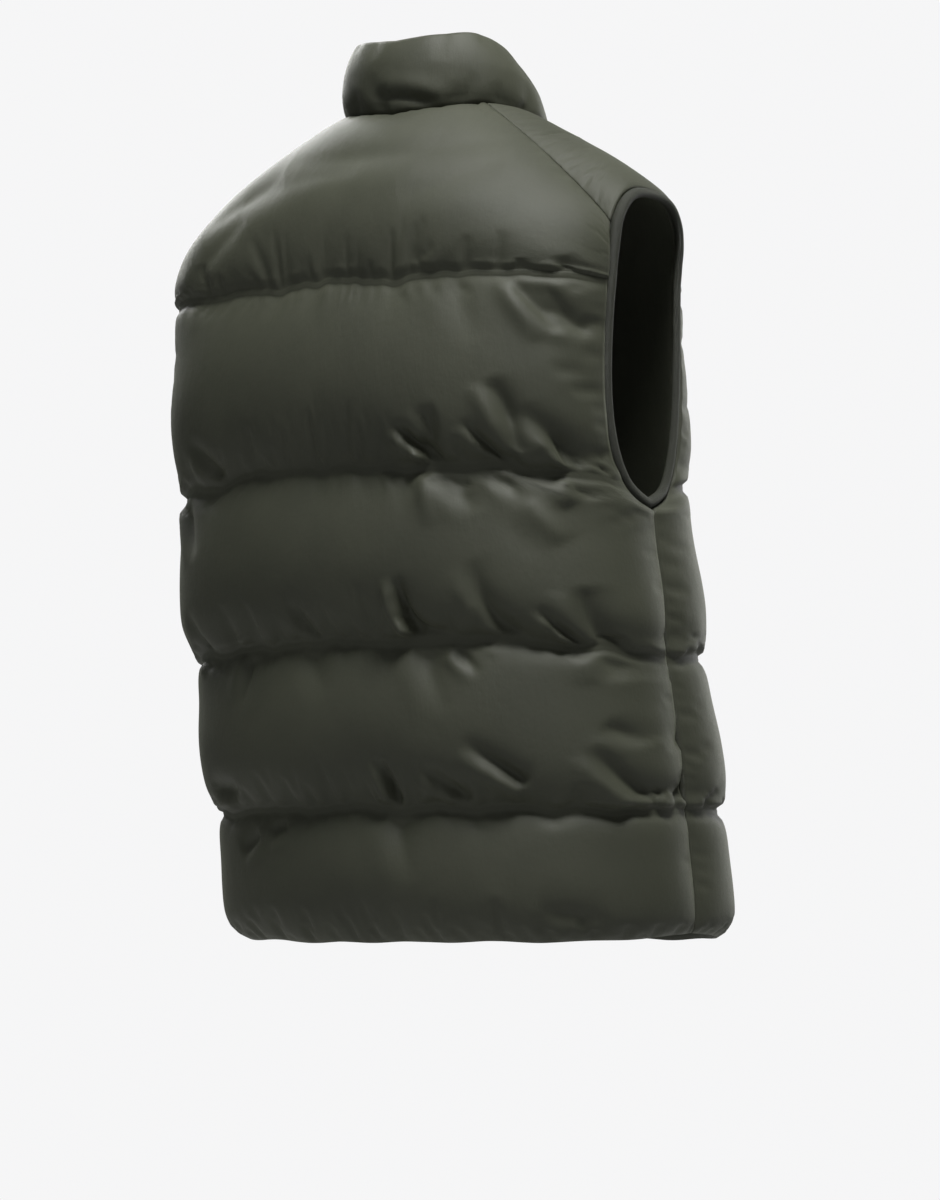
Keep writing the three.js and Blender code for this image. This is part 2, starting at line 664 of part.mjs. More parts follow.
// The slider's own frame: X across, Y up the zip, Z away from the wearer, from the middle of its back
function sliderFrame() {
  const path = zipPath();
  const [low, high] = path.slice(-2);
  const { up, out } = zipFrame([low, high], 0);
  const at = low.clone().lerp(high, SLIDER.share).addScaledVector(out, TAPE.front + SEAM_GAP);
  return new THREE.Matrix4().makeBasis(vec(1, 0, 0), up, out).setPosition(at);
}

function manifoldOf(geometry) {
  const bare = geometry.clone();
  bare.deleteAttribute("normal");
  bare.deleteAttribute("uv");
  const merged = mergeVertices(bare, 1e-4);
  return new wasm.Manifold(
    new wasm.Mesh({
      numProp: 3,
      vertProperties: merged.attributes.position.array,
      triVerts: new Uint32Array(merged.index.array),
    }),
  );
}

function geometryOf(manifold) {
  const { vertProperties, triVerts } = manifold.getMesh();
  const geometry = new THREE.BufferGeometry();
  geometry.setAttribute("position", new THREE.BufferAttribute(new Float32Array(vertProperties), 3));
  geometry.setIndex(new THREE.BufferAttribute(new Uint32Array(triVerts), 1));
  geometry.computeVertexNormals();
  return geometry;
}

const shapeOf = (points) => new THREE.Shape(points.map(([a, b]) => new THREE.Vector2(a, b)));
const BRIDGE_SINK = 0.4; // how far the bridge's feet reach into the slider's face

function zipSlider() {
  const { wide, tall, deep } = SLIDER;
  const half = wide / 2;
  const body = new THREE.ExtrudeGeometry(
    shapeOf([
      [-half * 0.55, -tall / 2],
      [half * 0.55, -tall / 2],
      [half * 0.8, -tall / 4],
      [half, tall / 4],
      [half * 0.7, tall / 2 - 0.6],
      [half * 0.2, tall / 2],
      [-half * 0.2, tall / 2],
      [-half * 0.7, tall / 2 - 0.6],
      [-half, tall / 4],
      [-half * 0.8, -tall / 4],
    ]),
    { depth: deep, bevelEnabled: false },
  );
  const { half: leg, high, windowHalf, windowLow, windowHigh } = BRIDGE;
  const arch = shapeOf([
    [-leg, -BRIDGE_SINK],
    [leg, -BRIDGE_SINK],
    [leg * 0.9, high * 0.7],
    [leg * 0.6, high],
    [-leg * 0.6, high],
    [-leg * 0.9, high * 0.7],
  ]);
  arch.holes.push(
    shapeOf([
      [-windowHalf, windowLow],
      [-windowHalf, windowHigh],
      [windowHalf, windowHigh],
      [windowHalf, windowLow],
    ]),
  );
  const bridge = new THREE.ExtrudeGeometry(arch, { depth: BRIDGE.wide, bevelEnabled: false });
  bridge.translate(0, 0, -BRIDGE.wide / 2);
  bridge.applyMatrix4(new THREE.Matrix4().makeBasis(vec(0, 1, 0), vec(0, 0, 1), vec(1, 0, 0)));
  bridge.translate(0, 0, deep);
  return geometryOf(manifoldOf(body).add(manifoldOf(bridge))).applyMatrix4(sliderFrame());
}

const AXIS_HEIGHT = SLIDER.deep + (BRIDGE.windowLow + BRIDGE.windowHigh) / 2;

function zipPull() {
  const { wide, long, thick, windowHalf, windowLong } = PULL;
  const half = wide / 2;
  const bar = thick / 2;
  const tab = shapeOf([
    [-half, bar],
    [-half * 0.8, -long * 0.45],
    [-half, -long * 0.6],
    [-half, -long * 0.92],
    [-half * 0.6, -long],
    [half * 0.6, -long],
    [half, -long * 0.92],
    [half, -long * 0.6],
    [half * 0.8, -long * 0.45],
    [half, bar],
  ]);
  tab.holes.push(
    shapeOf([
      [-windowHalf, -bar],
      [windowHalf, -bar],
      [windowHalf * 0.9, -windowLong],
      [-windowHalf * 0.9, -windowLong],
    ]),
  );
  const pull = new THREE.ExtrudeGeometry(tab, { depth: thick, bevelEnabled: false });
  pull.translate(0, 0, AXIS_HEIGHT - thick / 2);
  return geometryOf(manifoldOf(pull)).applyMatrix4(sliderFrame());
}

const group = new THREE.Group();
function add(name, geometry, material) {
  const mesh = new THREE.Mesh(geometry, material);
  mesh.name = name;
  group.add(mesh);
}

const leftBinding = bindingLoops();
const rightBinding = leftBinding.map((loop) => loop.map((p) => mirrored(p.clone())));

add("back_panel", wall(backGrids.outer, backGrids.inner), SHELL);
add("front_panel_left", wall(leftGrids.outer, leftGrids.inner), SHELL);
add("front_panel_right", wall(rightGrids.outer, rightGrids.inner), SHELL);
add("collar", loft(collarLoops, false), SHELL);
add("armhole_binding_left", loft(leftBinding, true), TRIM);
add("armhole_binding_right", loft(rightBinding, true), TRIM);
add("zip_tape_left", zipTape(1), WEBBING);
add("zip_tape_right", zipTape(-1), WEBBING);
add("zip_slider", zipSlider(), METAL);
add("zip_pull", zipPull(), METAL);

export default group;
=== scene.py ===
import math
import random
import time

import bmesh
import bpy
import numpy as np
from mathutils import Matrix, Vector, noise


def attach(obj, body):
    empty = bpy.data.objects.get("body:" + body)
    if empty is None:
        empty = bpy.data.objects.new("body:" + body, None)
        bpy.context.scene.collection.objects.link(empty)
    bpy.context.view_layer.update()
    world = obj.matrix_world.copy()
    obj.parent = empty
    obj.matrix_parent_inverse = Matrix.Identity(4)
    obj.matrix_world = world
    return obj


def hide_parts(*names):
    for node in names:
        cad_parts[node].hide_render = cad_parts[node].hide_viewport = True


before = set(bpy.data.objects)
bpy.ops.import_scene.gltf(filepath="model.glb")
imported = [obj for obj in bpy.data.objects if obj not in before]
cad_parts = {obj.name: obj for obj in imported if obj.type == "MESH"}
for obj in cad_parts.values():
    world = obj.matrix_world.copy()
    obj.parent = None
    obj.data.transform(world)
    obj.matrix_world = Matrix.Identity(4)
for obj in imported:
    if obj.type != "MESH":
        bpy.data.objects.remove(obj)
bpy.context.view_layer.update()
started = time.time()
mm = 0.001  # sizes below are in millimetres, and meshes in metres


def report(words):
    print(f"[vest] {time.time() - started:6.1f} s  {words}", flush=True)


# The camera sees the vest as the photo does, in metres
photoShot = {
    "azimuth": 212, "distance": 3.5, "height": -0.6, "widthSeen": 0.758,
    "target": (-0.029, -0.018, -0.363), "sensor": 36, "farthest": 50,
}


def placeCamera():
    shot = photoShot
    turn = math.radians(shot["azimuth"])
    target = Vector(shot["target"])
    place = target + Vector((math.sin(turn), -math.cos(turn), 0)) * shot["distance"]
    place.z = shot["height"]
    data = bpy.data.cameras.new("photoCamera")
    data.sensor_fit = "HORIZONTAL"
    data.sensor_width = shot["sensor"]
    data.lens = shot["sensor"] * shot["distance"] / shot["widthSeen"]
    data.clip_end = shot["farthest"]
    camera = bpy.data.objects.new("photoCamera", data)
    bpy.context.scene.collection.objects.link(camera)
    camera.location = place
    camera.rotation_euler = (target - place).to_track_quat("-Z", "Y").to_euler()
    bpy.context.scene.camera = camera


placeCamera()

# The vest's own sizes
hemLevel = -638
quiltLevels = [-533, -404, -270, -122]  # from the hem up
chestLevel = quiltLevels[3]
bandHalf = 3.2  # half the height of a quilt line
bandCloth = 3.0  # shell and lining pressed together at a quilt line
edgeCloth = 5.0  # cloth at the armhole, neck and shoulder edges
seamGap = 0.3  # between neighbouring pieces
zipHalf = 9.0  # from the centre line to the edge of a front
panelReach = 245.0  # along the cloth, from the centre to the outer edge
yokeHeight = 185.0  # along the cloth, from the chest line to the shoulder

# the plain inner face below the chest line
bodySections = [
    dict(level=-638, halfWidth=192, back=98, front=-174, centreY=-36, shiftX=-27),
    dict(level=-533, halfWidth=195, back=107, front=-167, centreY=-27, shiftX=-20),
    dict(level=-404, halfWidth=197, back=119, front=-153, centreY=-14, shiftX=-8),
    dict(level=-290, halfWidth=197, back=127, front=-142, centreY=-6, shiftX=-1),
    dict(level=-200, halfWidth=203, back=129, front=-134, centreY=-4, shiftX=0),
    dict(level=-122, halfWidth=208, back=126, front=-124, centreY=-2, shiftX=0),
]
sectionSquare = 2.5  # 2 is an ellipse
lineSag = [  # quilt lines sag a little below the armholes
    dict(level=-638, sag=0),
    dict(level=-533, sag=3),
    dict(level=-404, sag=12),
    dict(level=-270, sag=12),
    dict(level=-122, sag=3),
]
armhole = dict(
    centreY=-6, centreLevel=-166, halfDepth=61, rise=118, drop=130,
    topSquare=3, bottomSquare=2.4, tipX=199, tipLevel=-59, seamLevel=-79,
)
underarmLevel = armhole["centreLevel"] - armhole["drop"]
underarmRowLevel = underarmLevel + 10  # of the row that sags down to the underarm
neckRadius = 74.0
neckCentreY = -30.0
neckSeam = [  # round the neck, 0 at the back
    dict(turn=0, level=26), dict(turn=30, level=30), dict(turn=53, level=33), dict(turn=90, level=25),
    dict(turn=120, level=7), dict(turn=150, level=-25), dict(turn=180, level=-44),
]
shoulderTurn = 53.0  # where the shoulder seam meets the neck
frontTurn = 180 - math.degrees(math.asin(zipHalf / neckRadius))
yokeBow = [  # how far the fronts stand off the straight line from neck to armhole
    dict(rise=0, forward=18, up=0),
    dict(rise=0.35, forward=16, up=7),
    dict(rise=0.7, forward=0, up=9),
    dict(rise=1, forward=-4, up=6),
]
yoke = dict(zipBow=4, armholeEase=1.15, chestFade=0.18, bendAcross=0.45, bendBack=-3, bendUp=0.54, edgeEase=5)
neckPointRise = 0.36  # the part of the rise that the zip's edge takes
neckShare = 0.34  # the part of the back's half width that ends at the neck


def lerp(a, b, t):
    return a + (b - a) * t


# A smooth value between the rows of a table
def fromTable(table, key, at, name):
    xs = np.array([row[key] for row in table], float)
    ys = np.array([row[name] for row in table], float)
    at = np.clip(np.asarray(at, float), xs[0], xs[-1])
    k = np.clip(np.searchsorted(xs, at, side="left") - 1, 0, len(xs) - 2)
    last = len(xs) - 1

    def slope(i):
        low, high = np.maximum(i - 1, 0), np.minimum(i + 1, last)
        return (ys[high] - ys[low]) / (xs[high] - xs[low])

    span = xs[k + 1] - xs[k]
    u = (at - xs[k]) / span
    keep = 2 * u**3 - 3 * u**2 + 1
    return (
        keep * ys[k] + (1 - keep) * ys[k + 1]
        + (u**3 - 2 * u**2 + u) * span * slope(k)
        + (u**3 - u**2) * span * slope(k + 1)
    )


# A point of the inner face below the chest line, 0 degrees at the centre back
def bodyPoint(angle, level):
    angle, level = np.broadcast_arrays(np.asarray(angle, float), np.asarray(level, float))
    turn = np.radians(angle)
    across, deep = np.sin(turn), np.cos(turn)
    centre = fromTable(bodySections, "level", level, "centreY")
    back = fromTable(bodySections, "level", level, "back") - centre
    front = centre - fromTable(bodySections, "level", level, "front")
    reach = np.where(deep > 0, back, front)
    half = fromTable(bodySections, "level", level, "halfWidth")
    square = sectionSquare
    radius = (np.abs(across / half) ** square + np.abs(deep / reach) ** square) ** (-1 / square)
    shift = fromTable(bodySections, "level", level, "shiftX")
    return np.stack([shift + radius * across, centre + radius * deep, level], -1)


# The vest leans to its own right below the chest
def shiftAt(level):
    return np.where(np.asarray(level) < chestLevel, fromTable(bodySections, "level", level, "shiftX"), 0.0)


def mirrored(p):
    q = p.copy()
    q[..., 0] = 2 * shiftAt(p[..., 2]) - p[..., 0]
    return q


# Half the armhole's width at a level, front to back
def armholeHalf(level):
    up = level > armhole["centreLevel"]
    reach = armhole["rise"] if up else armhole["drop"]
    square = armhole["topSquare"] if up else armhole["bottomSquare"]
    share = min(max(abs(level - armhole["centreLevel"]) / reach, 0), 1)
    return armhole["halfDepth"] * (1 - share**square) ** (1 / square)


foundEdges = {}


# The angle of a panel's outer edge: the side seam, or the armhole above it
def edgeAngle(level, isBack):
    if level <= underarmLevel:
        return 90.0
    key = (round(float(level), 3), isBack)
    if key not in foundEdges:
        wanted = armhole["centreY"] + (1 if isBack else -1) * armholeHalf(level)
        angles = np.linspace(40, 90, 400) if isBack else np.linspace(90, 140, 400)  # near the side
        ys = bodyPoint(angles, level)[:, 1]
        foundEdges[key] = float(np.interp(-wanted, -ys, angles))
    return foundEdges[key]


def sagAt(angle, level):
    return fromTable(lineSag, "level", level, "sag") * np.sin(np.radians(angle)) ** 6


def saggedEdge(level, isBack):
    edge = edgeAngle(level, isBack)
    for _ in range(4):
        edge = edgeAngle(float(level - sagAt(edge, level)), isBack)
    return edge


# The armhole's edge above the chest line, by its way round: 0 back, 90 top, 180 front
def armholeTop(way):
    turn = np.radians(np.asarray(way, float))
    bend = 2 / armhole["topSquare"]
    forward = np.sign(np.cos(turn)) * np.abs(np.cos(turn)) ** bend
    level = armhole["centreLevel"] + armhole["rise"] * np.sin(turn) ** bend
    chestBack = bodyPoint(edgeAngle(chestLevel, True), chestLevel)[0]
    chestFront = bodyPoint(edgeAngle(chestLevel, False), chestLevel)[0]
    chestX = np.where(np.asarray(way) < 90, chestBack, chestFront)
    share = np.clip((level - chestLevel) / (armhole["tipLevel"] - chestLevel), 0, 1)
    share = share * share * (3 - 2 * share)
    y = armhole["centreY"] + armhole["halfDepth"] * forward
    return np.stack([lerp(chestX, armhole["tipX"], share), y, level], -1)


def armholeWay(level, isBack):
    share = ((level - armhole["centreLevel"]) / armhole["rise"]) ** (armhole["topSquare"] / 2)
    way = math.degrees(math.asin(min(max(share, 0), 1)))
    return way if isBack else 180 - way


def neckPoint(turn):
    a = np.radians(turn)
    level = fromTable(neckSeam, "turn", turn, "level")
    return np.stack([neckRadius * np.sin(a), neckCentreY + neckRadius * np.cos(a), level], -1)


def neckFacing(turn):
    a = np.radians(turn)
    return np.stack([np.sin(a), np.cos(a), np.zeros_like(a)], -1)


# Points of the inner face: across is 0 at the centre and 1 at the side or armhole
def frontLower(across, level):
    centre = fromTable(bodySections, "level", level, "centreY")
    start = 180 - math.degrees(math.atan(zipHalf / float(centre - bodyPoint(180, level)[1])))
    angle = lerp(start, saggedEdge(level, False), across)
    return bodyPoint(angle, level - sagAt(angle, level))


def frontUpperPlain(across, rise):
    chestEdge = frontLower(np.array(0.0), chestLevel)
    if rise < neckPointRise:
        inner = lerp(chestEdge, neckPoint(frontTurn), rise / neckPointRise)
        inner = inner - np.array([0, yoke["zipBow"] * math.sin(math.pi * rise / neckPointRise), 0])
    else:
        inner = neckPoint(lerp(frontTurn, shoulderTurn, (rise - neckPointRise) / (1 - neckPointRise)))
    start = armholeWay(float(frontLower(np.array(1.0), chestLevel)[2]), False)
    outer = armholeTop(lerp(start, armholeWay(armhole["seamLevel"], True), rise ** yoke["armholeEase"]))
    belly = (4 * across * (1 - across))[..., None]
    forward, up = fromTable(yokeBow, "rise", rise, "forward"), fromTable(yokeBow, "rise", rise, "up")
    return lerp(inner, outer, across[..., None]) + belly * np.array([0, -forward, up], float)


def frontUpper(across, rise):
    fade = math.exp(-((rise / yoke["chestFade"]) ** 2))
    atChest = frontLower(across, chestLevel) - frontUpperPlain(across, 0.0)
    return frontUpperPlain(across, rise) + fade * atChest


def backLower(across, level):
    angle = saggedEdge(level, True) * across
    return bodyPoint(angle, level - sagAt(angle, level))


def backTopEdge(across):
    onNeck = neckPoint(shoulderTurn * across / neckShare)
    onShoulder = frontUpper((across - neckShare) / (1 - neckShare), 1.0)
    return np.where((across <= neckShare)[..., None], onNeck, onShoulder)


def backUpper(across, rise):
    def column(share):
        start = backLower(share, chestLevel)
        end = backTopEdge(share)
        bend = np.stack(
            [
                lerp(start[..., 0], end[..., 0], yoke["bendAcross"]),
                start[..., 1] + yoke["bendBack"],
                lerp(start[..., 2], end[..., 2], yoke["bendUp"]),
            ],
            -1,
        )
        return (1 - rise) ** 2 * start + 2 * rise * (1 - rise) * bend + rise**2 * end

    low = armholeWay(float(backLower(np.array(1.0), chestLevel)[2]), True)
    way = lerp(low, armholeWay(armhole["seamLevel"], True), rise)
    correction = armholeTop(way) - column(np.array(1.0))
    return column(across) + correction * (across ** yoke["edgeEase"])[..., None]


bandRise = 0.022  # the part of the yoke's rise that its quilt line takes
rowCrowding = 0.16  # rows lie closer near the quilt lines


def rowShares(count):
    steps = [i / count for i in range(count + 1)]
    return [t - rowCrowding * math.sin(2 * math.pi * t) / (2 * math.pi) for t in steps]


# Rows of a panel from the hem up. Channel -1 is a quilt line, and rise runs from the chest to the shoulder
def panelRows(step):
    rows = []

    def addLine(level, rise=0.0):
        rows.append(dict(channel=-1, share=0.0, level=level, rise=rise))

    bottoms = [hemLevel] + [level + bandHalf for level in quiltLevels[:3]]
    for channel, bottom in enumerate(bottoms):
        top = quiltLevels[channel] - bandHalf
        for share in rowShares(max(6, round((top - bottom) / step))):
            rows.append(dict(channel=channel, share=share, level=lerp(bottom, top, share), rise=0.0))
        addLine(top + bandHalf / 2 if channel == 3 else top + bandHalf)
    addLine(chestLevel)
    addLine(0.0, bandRise * 0.5)
    for share in rowShares(round(yokeHeight / step)):
        rows.append(dict(channel=4, share=share, level=0.0, rise=lerp(bandRise, 1, share)))
    for row in rows:  # height along the cloth
        row["height"] = row["level"] if row["rise"] == 0 else chestLevel + row["rise"] * yokeHeight
    return rows


nearShare = 0.004  # a small step across or up, for directions
nearLevel = 0.8


# A panel's inner face, and the outward direction at each of its points
def gridOf(lower, upper, across, rows, isBack):
    def at(row, a):
        return upper(a, row["rise"]) if row["rise"] > 0 else lower(a, row["level"])

    base = np.array([at(row, across) for row in rows])
    facing = np.empty_like(base)
    for j, row in enumerate(rows):
        side = at(row, across + nearShare) - at(row, across - nearShare)
        key, by = ("rise", nearShare) if row["rise"] > 0 else ("level", nearLevel)
        up = at({**row, key: row[key] + by}, across) - at({**row, key: row[key] - by}, across)
        n = np.cross(side, up)
        facing[j] = (-n if isBack else n) / np.linalg.norm(n, axis=-1, keepdims=True)
    return base, facing


def unit(v):
    return v / np.linalg.norm(v, axis=-1, keepdims=True)


# Front and back share one direction along the shoulder seam
def shoulderFacing(across):
    by = nearShare

    def normal(upper, at):
        acrossIt = upper(at + by, 1.0) - upper(at - by, 1.0)
        return unit(np.cross(acrossIt, upper(at, 1 + by) - upper(at, 1 - by)))

    return unit(normal(frontUpper, across) - normal(backUpper, neckShare + (1 - neckShare) * across))


# How much of a puff is left near an edge, and over which distance it comes back
edgeFall = {
    "side": dict(kept=0.45, reach=12),
    "armhole": dict(kept=0.3, reach=14),
    "yoke": dict(kept=0.35, reach=14),
    "zip": dict(kept=0.06, reach=12),
}
puffHeight = dict(body=20.0, chest=17.0, hem=17.0, shoulder=6.0)
bodyBulge = (0.72, 0.75)  # the first sets how low the fullest place lies, the second how full the edges are
yokeBulge = (0.57, 0.82)
shoulderEase = 1.7  # how soon the chest puff goes over into the shoulder puff


def nearEdge(share, fall):
    return 1 - (1 - fall["kept"]) * np.exp(-share * panelReach / fall["reach"])


def sideFall(row):
    return edgeFall["armhole" if row["level"] > underarmRowLevel else "side"]


def bulge(share, form):
    low, high = form
    return np.sin(np.pi * np.clip(share, 0, 1) ** low) ** high


def panelPuff(row, a, isBack):
    side = 1 - a
    if row["channel"] == -1:
        return np.zeros_like(a)
    if row["rise"] == 0:
        high = puffHeight["hem"] if row["channel"] == 0 else puffHeight["body"]
        puff = bulge(row["share"], bodyBulge) * high * nearEdge(side, sideFall(row))
    elif isBack:
        return bulge(row["share"], yokeBulge) * puffHeight["chest"] * nearEdge(side, edgeFall["yoke"])
    else:
        high = lerp(puffHeight["chest"], puffHeight["shoulder"], min(row["share"] * shoulderEase, 1))
        puff = bulge(row["share"], bodyBulge) * high * nearEdge(side, edgeFall["yoke"])
    return puff if isBack else puff * nearEdge(a, edgeFall["zip"])


# The quilt lines don't sink through the whole filling, and least near the sides
lineLift = {"middle": 3.5, "side": 8.0, "above": 10.0, "below": 26.0, "sideStart": 0.45, "sideReach": 0.4}


def nearestLine(row):  # its level, and how far above it the row is
    if row["rise"] > 0:
        return chestLevel, row["rise"] * yokeHeight
    line = min(quiltLevels, key=lambda level: abs(row["level"] - level))
    return line, row["level"] - line


def liftAt(row, a, isBack):
    _, away = nearestLine(row)
    reach = lineLift["above"] if away > 0 else lineLift["below"]
    fade = math.exp(-((max(0.0, abs(away) - bandHalf) / reach) ** 2))
    toSide = np.clip((a - lineLift["sideStart"]) / lineLift["sideReach"], 0, 1)
    high = lerp(lineLift["middle"], lineLift["side"], toSide * toSide * (3 - 2 * toSide))
    lift = high * fade * nearEdge(1 - a, sideFall(row))
    return lift if isBack else lift * nearEdge(a, edgeFall["zip"])


# The quilt lines wander up and down a little, as stitching through filling does
lineWander = {"height": 6.0, "length": 42.0, "small": 2.4, "smallLength": 15.0, "reach": 24.0, "ends": 22.0}


def wanderOf(rows, a, cut, seed, isBack):
    lines = np.array([nearestLine(row) for row in rows])
    at = cut.copy()
    at[..., 1] = lines[:, 0, None]
    at = at.reshape(-1, 2)
    w = lineWander
    wave = w["height"] * noiseField(at, 1 / w["length"], seed)
    wave += w["small"] * noiseField(at, 1 / w["smallLength"], seed)
    fade = np.exp(-((lines[:, 1] / w["reach"]) ** 2))[:, None]
    fade = fade * (1 - np.exp(-(1 - a) * panelReach / w["ends"]))
    if not isBack:
        fade = fade * (1 - np.exp(-a * panelReach / w["ends"]))
    return wave.reshape(fade.shape) * fade


# What a crease has unless it says otherwise. Its ridge stands beside it, in widths of the crease
plainCrease = {
    "bow": 0.0, "ends": "both", "broad": 0.6, "core": 0.4, "ridge": 0.5,
    "broadWidth": 2.3, "ridgeHeight": 0.7, "ridgeAt": 3.0, "ridgeWidth": 1.7, "taper": 0.9, "bothTaper": 0.6,
}


# A crease runs from one point to another: a soft trough, with a ridge beside it
def creaseHeight(points, crease):
    form = {**plainCrease, **crease}
    start = np.array(form["start"], float)
    end = np.array(form["end"], float)
    along = end - start
    length = np.linalg.norm(along)
    along = along / length
    normal = np.array([-along[1], along[0]])
    rel = points - start
    t = rel @ along / length
    inside = np.clip(t, 0, 1)
    d = rel @ normal - form["bow"] * np.sin(np.pi * inside)
    w = form["width"]
    if form["ends"] == "both":
        taper = np.sin(np.pi * inside) ** form["bothTaper"]
    elif form["ends"] == "start":  # strongest at its start
        taper = np.cos(np.pi * inside / 2) ** form["taper"]
    else:
        taper = np.sin(np.pi * inside / 2) ** form["taper"]
    beyond = np.maximum(np.maximum(-t, t - 1), 0) * length
    past = (0.0 if form["ends"] == "both" else taper) * np.exp(-((beyond / w) ** 2))
    taper = np.where(beyond > 0, past, taper)
    shape = -form["broad"] * np.exp(-((d / (form["broadWidth"] * w)) ** 2))
    shape = shape - form["core"] * np.exp(-((d / w) ** 2))
    beside = np.exp(-(((d - form["ridgeAt"] * w) / (form["ridgeWidth"] * w)) ** 2))
    shape = shape + form["ridge"] * form["ridgeHeight"] * beside
    return form["depth"] * shape * taper


def noiseField(points, scale, seed):
    shift = (seed * 7.3, seed * 3.1, seed * 1.7)
    out = np.empty(len(points))
    for i, p in enumerate(points):
        out[i] = noise.noise(Vector((p[0] * scale + shift[0], p[1] * scale - shift[1], shift[2])))
    return out


def makeMesh(name, points, faces, uv=None):
    mesh = bpy.data.meshes.new(name)
    mesh.from_pydata((points * mm).tolist(), [], faces)
    if uv is not None:
        layer = mesh.uv_layers.new(name="cut")
        index = np.empty(len(mesh.loops), np.int32)
        mesh.loops.foreach_get("vertex_index", index)
        layer.data.foreach_set("uv", (uv[index] * mm).astype(np.float32).ravel())
    mesh.polygons.foreach_set("use_smooth", np.ones(len(mesh.polygons), bool))
    mesh.update()
    obj = bpy.data.objects.new(name, mesh)
    bpy.context.scene.collection.objects.link(obj)
    return obj


# The outer grid has twice the rows and columns of the plain inner one
def wallFaces(rows, columns):
    fineRows, fineColumns = 2 * rows - 1, 2 * columns - 1

    def o(j, i):
        return j * fineColumns + i

    def n(j, i):
        return fineRows * fineColumns + j * columns + i

    faces = [
        (o(j, i), o(j, i + 1), o(j + 1, i + 1), o(j + 1, i))
        for j in range(fineRows - 1) for i in range(fineColumns - 1)
    ]
    faces += [
        (n(j, i), n(j + 1, i), n(j + 1, i + 1), n(j, i + 1))
        for j in range(rows - 1) for i in range(columns - 1)
    ]
    k, m = columns - 1, rows - 1
    for j in range(m):
        faces.append((o(2 * j, 0), o(2 * j + 1, 0), o(2 * j + 2, 0), n(j + 1, 0), n(j, 0)))
        faces.append((o(2 * j + 2, 2 * k), o(2 * j + 1, 2 * k), o(2 * j, 2 * k), n(j, k), n(j + 1, k)))
    for i in range(k):
        faces.append((o(0, 2 * i + 2), o(0, 2 * i + 1), o(0, 2 * i), n(0, i), n(0, i + 1)))
        faces.append((o(2 * m, 2 * i), o(2 * m, 2 * i + 1), o(2 * m, 2 * i + 2), n(m, i + 1), n(m, i)))
    return faces


# Draws a grid's rim in, so that neighbours stay apart
def drawIn(grid, by):
    def pull(a, b):
        a += unit(b - a) * by

    pull(grid[:, 0], grid[:, 1])
    pull(grid[:, -1], grid[:, -2])
    pull(grid[0], grid[1])
    pull(grid[-1], grid[-2])


# A crease from one point to another. Its points are x and z, seen straight from behind or in front
def fold(x, z, toX, toZ, width, depth, **other):
    return dict(start=(x, z), end=(toX, toZ), width=width, depth=depth, **other)


crisp = {"ends": "end", "broad": 0.3, "core": 0.8}  # narrow, and strongest at its end

